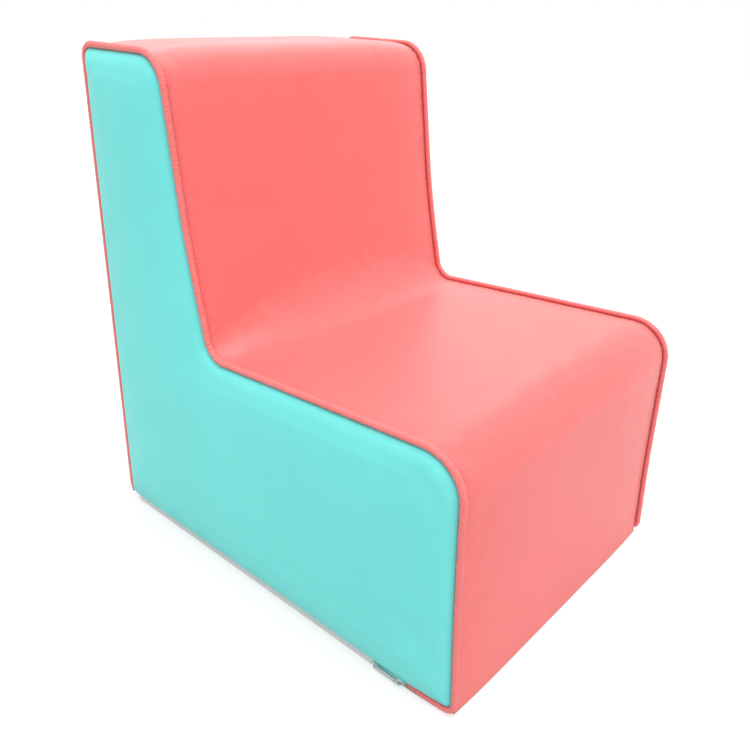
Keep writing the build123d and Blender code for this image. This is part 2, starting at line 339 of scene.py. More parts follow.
@dataclass(frozen=True)
class FoamFinish:
    """Open-cell foam: a cream colour that yellows in patches, with small cells."""

    name: str = "foam_open_cell"
    colour: Colour = (0.86, 0.79, 0.6)
    aged: Colour = (0.8, 0.68, 0.42)
    cell: float = 0.0011

    def material(self) -> bpy.types.Material:
        """Builds the material.

        Returns:
            The material.
        """
        material, graph = new_material(self.name)
        place = graph.place()
        sockets = {"Vector": place, "Scale": 1 / self.cell}
        cells = graph.node("ShaderNodeTexVoronoi", {"feature": "F1"}, sockets)["Distance"]
        bump = graph.node("ShaderNodeBump", {}, {"Height": cells, "Strength": 0.8, "Distance": 0.0004})
        aged = graph.noise(place, 9.0, 4.0).step(0.45, 0.75)
        sockets = {
            "Base Color": graph.mix(aged * 0.6 + cells * 0.2, self.colour, self.aged),
            "Roughness": cells * 0.1 + 0.85,
            "Normal": bump[0],
            "Specular IOR Level": 0.2,
        }
        shader = graph.node("ShaderNodeBsdfPrincipled", {}, sockets)
        graph.node("ShaderNodeOutputMaterial", {}, {"Surface": shader[0]})
        return material


@dataclass(frozen=True)
class NylonFinish:
    """Smooth white nylon, a little uneven in gloss and tint."""

    name: str = "zip_nylon"
    colour: Colour = (0.84, 0.84, 0.83)

    def material(self) -> bpy.types.Material:
        """Builds the material.

        Returns:
            The material.
        """
        material, graph = new_material(self.name)
        place = graph.place()
        grime = graph.noise(place, 120.0, 3.0).step(0.5, 0.8)
        dull = tuple(part * 0.88 for part in self.colour)
        fine = graph.noise(place, 2600.0)
        bump = graph.node("ShaderNodeBump", {}, {"Height": fine, "Strength": 0.3, "Distance": 0.00002})
        sockets = {
            "Base Color": graph.mix(grime, self.colour, dull),
            "Roughness": grime * 0.15 + 0.32,
            "Normal": bump[0],
        }
        shader = graph.node("ShaderNodeBsdfPrincipled", {}, sockets)
        graph.node("ShaderNodeOutputMaterial", {}, {"Surface": shader[0]})
        return material


@dataclass(frozen=True)
class PlatedFinish:
    """Nickel plating on a small casting: bright, with fine scratches and duller, handled places."""

    name: str = "zip_nickel"
    colour: Colour = (0.82, 0.82, 0.81)

    def material(self) -> bpy.types.Material:
        """Builds the material.

        Returns:
            The material.
        """
        material, graph = new_material(self.name)
        place = graph.place()
        stretched = graph.node(
            "ShaderNodeMapping", {}, {"Vector": place, "Scale": (1.0, 0.12, 1.0)})[0]
        scratches = graph.noise(stretched, 5200.0, 3.0)
        handled = graph.noise(place, 420.0, 3.0).step(0.4, 0.7)
        dull = tuple(part * 0.84 for part in self.colour)
        bump = graph.node(
            "ShaderNodeBump", {}, {"Height": scratches, "Strength": 0.25, "Distance": 0.00001})
        sockets = {
            "Base Color": graph.mix(handled, self.colour, dull),
            "Metallic": 1.0,
            "Roughness": handled * 0.12 + scratches * 0.08 + 0.14,
            "Normal": bump[0],
        }
        shader = graph.node("ShaderNodeBsdfPrincipled", {}, sockets)
        graph.node("ShaderNodeOutputMaterial", {}, {"Surface": shader[0]})
        return material


# Meshes


@dataclass
class Surface:
    """Points with their faces and with what the finishes read at each point.

    flat is the piece's own map in metres. seam, the share of painted seam shade, and wear go from 0 to 1.
    """

    points: np.ndarray
    faces: list[np.ndarray]
    flat: np.ndarray
    seam: np.ndarray
    wear: np.ndarray

    @classmethod
    def grid(
        cls,
        points: np.ndarray,
        flat: np.ndarray,
        seam: np.ndarray | float = 0.0,
        wear: np.ndarray | float = 0.0,
        closed: bool = False,
        flip: bool = False,
    ) -> "Surface":
        """Quads over a grid of points.

        Args:
            points: (rows, columns, 3).
            flat: (rows, columns, 2), the map.
            seam: how much painted seam shade each point has.
            wear: how rubbed each point is.
            closed: whether the last column joins the first.
            flip: whether the faces look the other way.

        Returns:
            The surface; it faces along the rows' direction crossed with the columns'.
        """
        rows, columns = points.shape[:2]
        index = np.arange(rows * columns).reshape(rows, columns)
        right = np.roll(index, -1, axis=1) if closed else index[:, 1:]
        left = index if closed else index[:, :-1]
        quads = np.stack([left[:-1], left[1:], right[1:], right[:-1]], axis=-1).reshape(-1, 4)
        quads = quads[:, ::-1] if flip else quads
        shape = (rows, columns)
        return cls(
            points.reshape(-1, 3),
            [quads],
            flat.reshape(-1, 2),
            np.broadcast_to(seam, shape).reshape(-1),
            np.broadcast_to(wear, shape).reshape(-1),
        )

    def joined(self, other: "Surface") -> "Surface":
        """Both surfaces as one.

        Args:
            other: the surface whose points follow this one's.

        Returns:
            One surface.
        """
        shift = len(self.points)
        return Surface(
            np.concatenate([self.points, other.points]),
            self.faces + [faces + shift for faces in other.faces],
            np.concatenate([self.flat, other.flat]),
            np.concatenate([self.seam, other.seam]),
            np.concatenate([self.wear, other.wear]),
        )

    def capped(self, around: int, flip: bool = False) -> "Surface":
        """Closes both ends of a tube with one face each.

        Args:
            around: how many points a ring of the tube has.
            flip: whether the faces look the other way.

        Returns:
            The closed surface.
        """
        first = np.arange(around)[None]
        last = first + len(self.points) - around
        ends = [last, first[:, ::-1]] if flip else [first, last[:, ::-1]]
        return Surface(self.points, self.faces + ends, self.flat, self.seam, self.wear)

    def mesh(self, name: str) -> bpy.types.Mesh:
        """The surface as a Blender mesh with its map and its attributes.

        Args:
            name: the mesh's name.

        Returns:
            The mesh, shaded smooth.
        """
        mesh = bpy.data.meshes.new(name)
        faces = [face for group in self.faces for face in group.tolist()]
        mesh.from_pydata(self.points.tolist(), [], faces)
        corners = np.empty(len(mesh.loops), dtype=np.int32)
        mesh.loops.foreach_get("vertex_index", corners)
        layer = mesh.uv_layers.new(name="cloth")
        layer.data.foreach_set("uv", self.flat[corners].astype(np.float32).ravel())
        for word, values in (("seam", self.seam), ("wear", self.wear)):
            attribute = mesh.attributes.new(word, "FLOAT", "POINT")
            attribute.data.foreach_set("value", np.ascontiguousarray(values, dtype=np.float32))
        mesh.shade_smooth()
        mesh.update()
        return mesh


def add_piece(
    name: str,
    surface: Surface,
    finish: bpy.types.Material,
    nodes: Sequence[str] = (),
    body: str = "chair",
    thickness: float = 0.0,
    weld: bool = False,
) -> bpy.types.Object:
    """Puts a surface into the scene as a piece of the chair.

    Args:
        name: the piece's name.
        surface: its shape.
        finish: its material.
        nodes: the CAD nodes that it stands for.
        body: the CAD body that it moves with.
        thickness: the cloth's thickness, laid inwards; 0 for a closed shape.
        weld: whether points at one place become one.

    Returns:
        The object.
    """
    piece = bpy.data.objects.new(name, surface.mesh(name))
    bpy.context.scene.collection.objects.link(piece)
    piece.data.materials.append(finish)
    if weld:
        shell = bmesh.new()
        shell.from_mesh(piece.data)
        bmesh.ops.remove_doubles(shell, verts=shell.verts, dist=0.00001)
        shell.to_mesh(piece.data)
        shell.free()
    if thickness:
        wall = piece.modifiers.new("thickness", "SOLIDIFY")
        wall.thickness = thickness
        wall.offset = -1.0
    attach(piece, body)
    if nodes:
        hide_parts(*nodes)
    log.info("%s: %d points, for %s", name, len(surface.points), ", ".join(nodes) or "itself")
    return piece


# Paths


@dataclass(frozen=True)
class RoundedPath:
    """A run of straights joined by arcs, in a plane, for one or many stations at once.

    corners is (stations, corners, 2) and radii is (stations, corners - 2). A closed path has a
    radius for each corner and ends where it starts.
    """

    corners: np.ndarray
    radii: np.ndarray

    def sample(self, straights: Sequence[int], arcs: Sequence[int]) -> "Sampled":
        """Points on the path, with straights[i] and arcs[i] steps on its runs.

        A straight runs from one arc's end to the next one's start. An arc of radius r that turns
        by q starts at A along d, with its centre on the side of m, and its point after a share a
        of the turn is A + r sin(a q) d + r (1 - cos(a q)) m.

        Args:
            straights: steps on each straight.
            arcs: steps on each rounded corner.

        Returns:
            The points, the normals to the left of the path and the bend at each point.
        """
        runs = np.diff(self.corners, axis=1)
        runs /= np.linalg.norm(runs, axis=2, keepdims=True)
        before, after = runs[:, :-1], runs[:, 1:]
        cross = before[..., 0] * after[..., 1] - before[..., 1] * after[..., 0]
        turn = np.arctan2(cross, (before * after).sum(axis=2))
        reach = self.radii * np.tan(np.abs(turn) / 2)
        inner = self.corners[:, 1:-1]
        starts = inner - before * reach[..., None]
        ends = inner + after * reach[..., None]
        towards = left_of(before) * np.sign(turn)[..., None]
        points, normals, bends = [], [], []
        here = self.corners[:, 0]
        for number, steps in enumerate(straights):
            last = number == len(straights) - 1
            there = self.corners[:, -1] if last else starts[:, number]
            shares = np.linspace(0, 1, steps + 1)[: None if last else -1, None, None]
            points.append(here + (there - here) * shares)
            normals.append(np.broadcast_to(left_of(runs[:, number]), points[-1].shape))
            bends.append(np.zeros(points[-1].shape[:2]))
            if last:
                break
            shares = np.linspace(0, 1, arcs[number] + 1)[:-1, None]
            angle = (np.abs(turn[:, number]) * shares)[..., None]
            ahead, inward = before[:, number], towards[:, number]
            radius = self.radii[:, number, None]
            points.append(
                starts[:, number] + radius * (np.sin(angle) * ahead + (1 - np.cos(angle)) * inward))
            normals.append(left_of(np.cos(angle) * ahead + np.sin(angle) * inward))
            bend = np.sign(turn[:, number]) / self.radii[:, number]
            bends.append(np.broadcast_to(bend, points[-1].shape[:2]))
            here = ends[:, number]
        return Sampled(np.concatenate(points), np.concatenate(normals), np.concatenate(bends))


def left_of(vectors: np.ndarray) -> np.ndarray:
    """Vectors of a plane turned a quarter to the left: (a, b) becomes (-b, a)."""
    return np.stack([-vectors[..., 1], vectors[..., 0]], axis=-1)


@dataclass(frozen=True)
class Sampled:
    """Points on a path, (steps, stations, 2), with their left normals and the bend, 1 / radius."""

    points: np.ndarray
    normals: np.ndarray
    bends: np.ndarray

    @property
    def lengths(self) -> np.ndarray:
        """Length along the path at each point, (steps, stations)."""
        steps = np.linalg.norm(np.diff(self.points, axis=0), axis=2)
        return np.concatenate([np.zeros((1, steps.shape[1])), np.cumsum(steps, axis=0)])


def steps_for(length: float, spacing: float) -> int:
    """How many even steps of about that spacing a length takes."""
    return max(2, round(length / spacing))


def softened(values: np.ndarray, lengths: np.ndarray, reach: float) -> np.ndarray:
    """Values along a path, averaged under a bell curve whose half width is reach.

    w_ij = exp(-((l_i - l_j) / reach)^2) and the result is sum_j w_ij v_j / sum_j w_ij.

    Args:
        values: one for each point.
        lengths: length along the path at each point.
        reach: the bell's half width.

    Returns:
        The averaged values.
    """
    few = slice(None, None, 8)
    weights = np.exp(-(((lengths[:, None] - lengths[None, few]) / reach) ** 2))
    return (weights * values[None, few]).sum(axis=1) / weights.sum(axis=1)


@dataclass(frozen=True)
class SideOutline:
    """The chair's side outline at the piped seams, as the cutting pattern has it."""

    half_width: float = 0.207
    half_depth: float = 0.2555
    front_lean: float = 0.012
    nose_height: float = 0.2715
    junction_y: float = 0.0845
    junction_height: float = 0.259
    rest_top_y: float = 0.1295
    rest_top_height: float = 0.556
    rear_rise: float = 0.005
    hem_height: float = 0.0074
    foot_gap: float = 0.0003
    foot_radius: float = 0.0075
    nose_radius: float = 0.039
    seat_corner_radius: float = 0.026
    top_front_radius: float = 0.034
    top_rear_radius: float = 0.0105
    least_radius: float = 0.0015
    flare: float = 0.0115
    flare_top: float = 0.41
    flare_reach: float = 0.085
    flare_depth: float = 0.09
    foot_spread: float = 0.0024
    foot_spread_height: float = 0.075
    foot_reach: float = 0.03
    foot_tuck: float = 0.004
    foot_tuck_height: float = 0.19
    foot_tuck_reach: float = 0.032

    def corners(
        self,
        swell: np.ndarray,
        back: np.ndarray | None = None,
        front_foot: np.ndarray | None = None,
        rear_foot: np.ndarray | None = None,
        front_floor: np.ndarray | float | None = None,
        rear_floor: np.ndarray | float | None = None,
    ) -> np.ndarray:
        """The outline's six corners as (y, z), moved outward.

        Args:
            swell: how far the front, seat, backrest and top stand out at each station.
            back: how far the back's upper end does, or the same.
            front_foot: how far the front's foot does, or the same.
            rear_foot: how far the back's foot does, or the same.
            front_floor: height of the first corner, or the hem's.
            rear_floor: height of the last corner, or the hem's.

        Returns:
            (stations, 6, 2), from the front foot up and over to the rear foot.
        """
        swell = np.atleast_1d(np.asarray(swell, dtype=float))
        back = swell if back is None else back
        front_foot = swell if front_foot is None else front_foot
        rear_foot = swell if rear_foot is None else rear_foot
        front_floor = self.hem_height if front_floor is None else front_floor
        rear_floor = self.hem_height if rear_floor is None else rear_floor
        nose = (-self.half_depth + self.front_lean - swell, self.nose_height + swell)
        rear = (self.half_depth + back, self.rest_top_height + self.rear_rise + swell)
        outline = [
            self.on_line(-self.half_depth - front_foot, nose, front_floor),
            nose,
            (self.junction_y - swell, self.junction_height + swell),
            (self.rest_top_y - swell, self.rest_top_height + swell),
            rear,
            self.on_line(self.half_depth + rear_foot, rear, rear_floor),
        ]
        spread = [np.broadcast_arrays(y, z, swell)[:2] for y, z in outline]
        return np.stack([np.stack(pair, axis=-1) for pair in spread], axis=1)

    @staticmethod
    def on_line(foot_y: np.ndarray, top: tuple, height: np.ndarray | float) -> tuple:
        """Where the line from (foot_y, 0) to the top corner passes a height."""
        return foot_y + (top[0] - foot_y) * height / top[1], height

    def settled(self, points: np.ndarray) -> np.ndarray:
        """Places (x, y, z) moved as the filled cover settles, in two places.

        The backrest's foot flares out over the seat: y less flare a^1.5 exp(-b^2 - c^2), where a
        goes from 0 at the flare's top to 1 at the seat, b = (y - junction) / reach and c is the
        depth below the seat over its own reach. The front's foot spreads forward by
        spread exp(-(z / height)^2 - e^2), and its sides draw in by the share
        tuck exp(-(z / tuck height)^2 - f^2), with e and f the distance from the front over a reach.

        Args:
            points: (..., 3).

        Returns:
            The same shape.
        """
        x, y, z = points[..., 0], points[..., 1], points[..., 2]
        drop = (self.flare_top - z) / (self.flare_top - self.junction_height)
        below = np.clip(self.junction_height - z, 0, None) / self.flare_depth
        near = (y - self.junction_y) / self.flare_reach
        forward = self.flare * np.clip(drop, 0, 1) ** 1.5 * np.exp(-(near ** 2) - below ** 2)
        from_front = y + self.half_depth
        low = z / self.foot_spread_height
        forward = forward + self.foot_spread * np.exp(-(low ** 2) - (from_front / self.foot_reach) ** 2)
        high = z / self.foot_tuck_height
        inward = self.foot_tuck * np.exp(-(high ** 2) - (from_front / self.foot_tuck_reach) ** 2)
        return np.stack([x * (1 - inward / self.half_width), y - forward, z], axis=-1)

    def radii(self, swell: np.ndarray, bridging: np.ndarray | float = 0.0) -> np.ndarray:
        """Corner radii for the same stations: outer ones grow with the swell, the inner one shrinks.

        Args:
            swell: how far the outline stands out at each station.
            bridging: how much broader the seat corner is there, where the cloth bridges it.

        Returns:
            (stations, 6).
        """
        swell = np.atleast_1d(np.asarray(swell, dtype=float))
        outer = [self.foot_radius, self.nose_radius, self.top_front_radius, self.top_rear_radius]
        foot, nose, top_front, top_rear = [np.maximum(r + swell, self.least_radius) for r in outer]
        inner = np.broadcast_to(self.seat_corner_radius - swell + bridging, swell.shape)
        return np.stack([foot, nose, inner, top_front, top_rear, foot], axis=1)


@dataclass(frozen=True)
class SeamFold:
    """Places beside a piped seam, as (u, n): u outward from the seam plane, n outward from the outline.

    The piping's tail and the turned-in edges go in along the diagonal below the piping's middle.
    """

    centre_u: float = -0.002
    centre_n: float = 0.00325
    radius: float = 0.00325
    reach: float = 0.00925
    slack: float = 0.00085

    def at(self, inward: np.ndarray, aside: np.ndarray) -> tuple[np.ndarray, np.ndarray]:
        """(u, n) at a place of the fold.

        Args:
            inward: distance along the diagonal from the piping's middle.
            aside: distance from the diagonal, to the side panel.

        Returns:
            u and n.
        """
        root = math.sqrt(0.5)
        return (
            self.centre_u + (aside - inward) * root,
            self.centre_n + (-aside - inward) * root,
        )


@dataclass(frozen=True)
class Puckers:
    """Small tucks that the seam's thread draws into a cloth.

    A tuck at length s0 on the seam is a groove of depth
    a exp(-((s - s0 - slant e) / w)^2) exp(-(e / reach)^2), where e is the distance from the seam.
    Their depth a grows where the seam bends.
    """

    seed: int
    spacing: float = 0.011
    width: float = 0.0022
    reach: float = 0.014
    depth: float = 0.00026
    bend_gain: float = 0.012
    deepest: float = 0.0007
    slant: float = 0.35

    def field(self, lengths: np.ndarray, away: np.ndarray, bend: np.ndarray) -> np.ndarray:
        """Height of the tucks, at most 0.

        Args:
            lengths: length along the seam of each row.
            away: distance from the seam of each column.
            bend: size of the seam's bend at each row, softened.

        Returns:
            (rows, columns).
        """
        rng = np.random.default_rng(self.seed)
        total = lengths[-1]
        count = int(total / self.spacing)
        middles = (np.arange(count) + rng.uniform(0.1, 0.9, count)) * self.spacing
        height = np.zeros((len(lengths), len(away)))
        sizes = rng.gamma(2.0, 0.5, count)
        widths = self.width * rng.uniform(0.7, 1.5, count)
        reaches = self.reach * rng.uniform(0.5, 1.6, count)
        slants = rng.normal(0.0, self.slant, count)
        for middle, size, width, reach, slant in zip(middles, sizes, widths, reaches, slants):
            depth = size * (self.depth + self.bend_gain * np.interp(middle, lengths, bend) * width)
            depth = min(depth, self.deepest)
            near = np.abs(lengths - middle) < 4 * width + abs(slant) * 2 * reach
            across = (lengths[near, None] - middle - slant * away[None, :]) / width
            height[near] -= depth * np.exp(-(across ** 2)) * np.exp(-((away / reach) ** 2))[None, :]
        return height


def within(places: np.ndarray, outline: np.ndarray) -> np.ndarray:
    """Whether places lie inside a closed outline: a ray from each crosses it an odd number of times.

    Args:
        places: (many, 2).
        outline: (corners, 2), in order.

    Returns:
        A flag for each place.
    """
    start, end = outline, np.roll(outline, -1, axis=0)
    x, y = places[:, :1], places[:, 1:]
    spans = (start[:, 1] > y) != (end[:, 1] > y)
    rise = np.where(end[:, 1] == start[:, 1], 1.0, end[:, 1] - start[:, 1])
    crossing = start[:, 0] + (y - start[:, 1]) / rise * (end[:, 0] - start[:, 0])
    return (spans & (x < crossing)).sum(axis=1) % 2 == 1


@dataclass(frozen=True)
class DragLines:
    """Soft folds that run into a cloth from its seam, where the cloth is pulled aslant.

    A fold that starts at length s0 is a groove a exp(-(p / width)^2) exp(-(q / reach)^2), where q
    runs along the fold, at the angle lean to the seam, and p across it.
    """

    first: float
    count: int
    seed: int
    pitch: float = 0.019
    lean: float = 0.78
    width: float = 0.0042
    reach: float = 0.05
    depth: float = 0.0008

    def field(self, lengths: np.ndarray, away: np.ndarray) -> np.ndarray:
        """Height of the folds.

        Args:
            lengths: length along the seam of each point.
            away: distance from the seam of each point.

        Returns:
            A height for each point, at most 0.
        """
        rng = np.random.default_rng(self.seed)
        starts = self.first + (np.arange(self.count) + rng.uniform(-0.3, 0.3, self.count)) * self.pitch
        height = np.zeros(np.broadcast_shapes(lengths.shape, away.shape))
        for start in starts:
            angle = self.lean + rng.normal(0.0, 0.08)
            depth, reach = self.depth * rng.uniform(0.5, 1.2), self.reach * rng.uniform(0.5, 1.2)
            along = (lengths - start) * math.cos(angle) + away * math.sin(angle)
            across = (lengths - start) * math.sin(angle) - away * math.cos(angle)
            height -= depth * np.exp(-((across / self.width) ** 2) - (along / reach) ** 2)
        return height


@dataclass(frozen=True)
class ClothSwell:
    """A trial of the cover's cloth in Blender's cloth simulation: held at its seams and blown out.

    slack is the share by which the cloth is longer than its place, which makes it ripple softly.
    Each point's way d is kept under the cap as cap tanh(d / cap).
    """

    pressure: float = 4.0
    frames: int = 20
    slack: float = 0.006
    cap: float = 0.005
    mass: float = 0.4
    tension: float = 20.0
    bending: float = 2.0
    quality: int = 6

    def moved(self, surface: Surface, held: np.ndarray) -> np.ndarray:
        """How far each point of a coarse surface moves.

        Args:
            surface: the cloth, facing outward.
            held: whether the seam holds each point.
        """
        scene = bpy.context.scene
        piece = bpy.data.objects.new("cloth_trial", surface.mesh("cloth_trial"))
        scene.collection.objects.link(piece)
        seam = piece.vertex_groups.new(name="held")
        seam.add(np.flatnonzero(held).tolist(), 1.0, "REPLACE")
        modifier = piece.modifiers.new("cloth", "CLOTH")
        cloth = modifier.settings
        cloth.vertex_group_mass = seam.name
        cloth.use_pressure = True
        cloth.uniform_pressure_force = self.pressure
        cloth.effector_weights.gravity = 0.0
        cloth.mass = self.mass
        cloth.quality = self.quality
        cloth.tension_stiffness = self.tension
        cloth.compression_stiffness = self.tension
        cloth.bending_stiffness = self.bending
        cloth.shrink_min = -self.slack
        modifier.point_cache.frame_start = 1
        modifier.point_cache.frame_end = self.frames
        for frame_number in range(1, self.frames + 1):
            scene.frame_set(frame_number)
        shown = piece.evaluated_get(bpy.context.evaluated_depsgraph_get()).to_mesh()
        after = np.empty(len(shown.vertices) * 3)
        shown.vertices.foreach_get("co", after)
        way = after.reshape(-1, 3) - surface.points
        mesh = piece.data
        bpy.data.objects.remove(piece)
        bpy.data.meshes.remove(mesh)
        scene.frame_set(1)
        length = np.maximum(np.linalg.norm(way, axis=1, keepdims=True), 1e-9)
        log.info("cloth trial: %d points, moved by at most %.1f mm", len(way), length.max() * 1000)
        return way / length * self.cap * np.tanh(length / self.cap)


def bell_weights(places: np.ndarray, sources: np.ndarray, reach: float) -> np.ndarray:
    """Weights exp(-((p_i - q_j) / reach)^2), made to sum to 1 for each place.

    Args:
        places: (many, dimensions), where values are wanted.
        sources: (few, dimensions), where they are known.
        reach: the bell's half width.

    Returns:
        (many, few).
    """
    gaps = ((places[:, None] - sources[None]) ** 2).sum(axis=-1)
    weights = np.exp(-gaps / reach ** 2)
    return weights / weights.sum(axis=1, keepdims=True)


OUTLINE = SideOutline()
FOLD = SeamFold()
SWELL = ClothSwell()


# Sub-assemblies


@dataclass
class CoverStrip:
    """The coral strip: front, seat, backrest, top and back in one run between the piped seams."""

    finish: ClothFinish
    edge: float = 0.1988
    edge_swell: float = 0.00175
    crown: float = 0.0062
    back_crown: float = 0.0037
    foot_crown: float = 0.0017
    crown_power: int = 6
    bridging: float = 0.05
    bridging_power: float = 2.5
    fold_radius: float = 0.0004
    fold_steps: int = 7
    thickness: float = 0.0011
    tuck_slant: float = 0.5
    bend_reach: float = 0.03
    drag_fade: float = 0.012
    seam_reach: float = 0.002
    wear_reach: float = 0.02
    wear_at_seam: float = 0.5
    wear_bend: float = 20.0
    columns: int = 26
    spacing: float = 0.0027
    arc_spacing: float = 0.0014
    trial_columns: int = 45
    trial_step: int = 5
    trial_reach: float = 0.009
    swell_fade: float = 0.02

    def stations(self) -> tuple[np.ndarray, np.ndarray, np.ndarray]:
        """The strip's columns, from the left fold to the right one.

        Over the strip, x = edge sin(pi t / 2) and the crown is 1 - |x / edge|^power. Beyond the
        edge, the cloth turns down round a small arc into the seam below the piping.

        Returns:
            x, swell and distance from the fold of each column.
        """
        share = np.sin(np.linspace(-1, 1, 2 * self.columns + 1) * math.pi / 2)
        x = self.edge * share
        swell = self.edge_swell + self.crown * (1 - np.abs(share) ** self.crown_power)
        angle = np.linspace(0, 0.75 * math.pi, self.fold_steps)
        middle_n = self.edge_swell - self.fold_radius
        aside = (FOLD.slack + self.fold_radius) * math.sqrt(2)
        middle_u = FOLD.centre_u + middle_n - FOLD.centre_n - aside
        end_u, end_n = FOLD.at(FOLD.reach, -FOLD.slack)
        fold_u = np.append(middle_u + self.fold_radius * np.sin(angle), end_u)
        fold_n = np.append(middle_n + self.fold_radius * np.cos(angle), end_n)
        fold_x = OUTLINE.half_width + fold_u
        none = np.zeros(len(fold_u))
        away = np.concatenate([none, (OUTLINE.half_width + middle_u) - np.abs(x), none])
        return (
            np.concatenate([-fold_x[::-1], x, fold_x]),
            np.concatenate([fold_n[::-1], swell, fold_n]),
            away,
        )

    def surface(self) -> Surface:
        """The strip's outer face, with its tucks and the painted shade at its seams.

        Each column is the rounded outline, moved out by the column's swell. The seat corner's
        radius grows by bridging (1 - |x / edge|^power) towards mid width. The tucks and the folds
        move each point along the outline's normal, and the trial cloth's way is added.

        Returns:
            The surface, from the front foot over the top to the back's foot.
        """
        x, swell, away = self.stations()
        across = np.clip(np.abs(x / self.edge), 0, 1)
        crown = 1 - across ** self.crown_power
        low = np.minimum(swell, self.edge_swell)
        path = RoundedPath(
            OUTLINE.corners(
                swell,
                back=low + self.back_crown * crown,
                front_foot=low + self.foot_crown * crown,
                rear_foot=low - self.edge_swell,
                front_floor=OUTLINE.foot_gap,
            ),
            OUTLINE.radii(swell, self.bridging * (1 - across ** self.bridging_power))[:, 1:5],
        )
        line = path.sample(self.straight_steps(), self.arc_steps())
        lengths = line.lengths[:, 0]
        bend = softened(np.abs(line.bends[:, 0]), lengths, self.bend_reach)
        tucks = Puckers(seed=11, slant=self.tuck_slant).field(lengths, np.abs(away), bend)
        right = Puckers(seed=12, slant=self.tuck_slant).field(lengths, np.abs(away), bend)
        half = len(x) // 2
        tucks[:, half:] = right[:, half:]
        tucks += self.pulled(line.lengths, x) * np.clip(away / self.drag_fade, 0, 1)
        folded = line.points + line.normals * tucks[..., None]
        across_strip = np.broadcast_to(x, folded.shape[:2])[..., None]
        points = OUTLINE.settled(np.concatenate([across_strip, folded], axis=2))
        points += self.swollen(points, lengths, x, away)
        flat = np.stack(np.broadcast_arrays(x[None, :], line.lengths), axis=-1)
        from_seam = np.clip(away, 0, None)
        # Painted shade along the seams: strongest at the seam, fading over seam_reach.
        seam = np.exp(-from_seam / self.seam_reach)
        wear = np.exp(-from_seam / self.wear_reach) * self.wear_at_seam
        wear = wear + np.clip(bend, 0, self.wear_bend)[:, None] / (2 * self.wear_bend)
        return Surface.grid(points, flat, seam[None, :], wear, flip=True)

    def pulled(self, lengths: np.ndarray, x: np.ndarray) -> np.ndarray:
        """Folds that the seams pull into the front and beside the seat corner, on either side.

        Args:
            lengths: length along the strip of each point.
            x: place across the strip of each column.

        Returns:
            A height for each point, at most 0.
        """
        from_left = x[None, :] + self.edge
        from_right = self.edge - x[None, :]
        height = np.zeros_like(lengths)
        for first, count, seed in ((0.07, 7, 41), (0.47, 4, 42)):
            height += DragLines(first, count, seed).field(lengths, from_left)
            height += DragLines(first, count, seed + 10).field(lengths, from_right)
        return height

    def swollen(
        self, points: np.ndarray, lengths: np.ndarray, x: np.ndarray, away: np.ndarray,
    ) -> np.ndarray:
        """How the trial cloth moves each point: the coarse trial's way, spread by bell weights.

        Args:
            points: the strip's points, (rows, columns, 3).
            lengths: length along the strip of each row.
            x: place across the strip of each column.
            away: distance from the seam of each column.

        Returns:
            (rows, columns, 3), nothing at the seams.
        """
        across = np.linspace(-self.edge, self.edge, self.trial_columns)
        columns = np.abs(x[None, :] - across[:, None]).argmin(axis=1)
        rows = np.arange(0, len(lengths), self.trial_step)
        coarse = points[rows][:, columns]
        held = np.zeros(coarse.shape[:2], dtype=bool)
        held[:, [0, -1]] = True
        held[[0, -1]] = True
        trial = Surface.grid(coarse, coarse[..., :2], flip=True)
        way = SWELL.moved(trial, held.ravel()).reshape(coarse.shape)
        down = bell_weights(lengths[:, None], lengths[rows, None], self.trial_reach)
        over = bell_weights(x[:, None], x[columns, None], self.trial_reach)
        spread = np.einsum("ri,cj,ijk->rck", down, over, way, optimize=True)
        return spread * np.clip(away / self.swell_fade, 0, 1)[None, :, None]

    def straight_steps(self) -> list[int]:
        """Steps on the front, seat, backrest, top and back."""
        corners = OUTLINE.corners(0.0)[0]
        return [steps_for(np.linalg.norm(run), self.spacing) for run in np.diff(corners, axis=0)]

    def arc_steps(self) -> list[int]:
        """Steps on the nose, the seat corner and the two top corners."""
        return [steps_for(r * math.pi / 2, self.arc_spacing) for r in OUTLINE.radii(0.0)[0, 1:5]]

    def build(self) -> bpy.types.Object:
        """Adds the strip.

        Returns:
            The piece.
        """
        piece = add_piece(
            "cover_strip", self.surface(), self.finish.material(), ["main_strip"],
            thickness=self.thickness)
        return piece


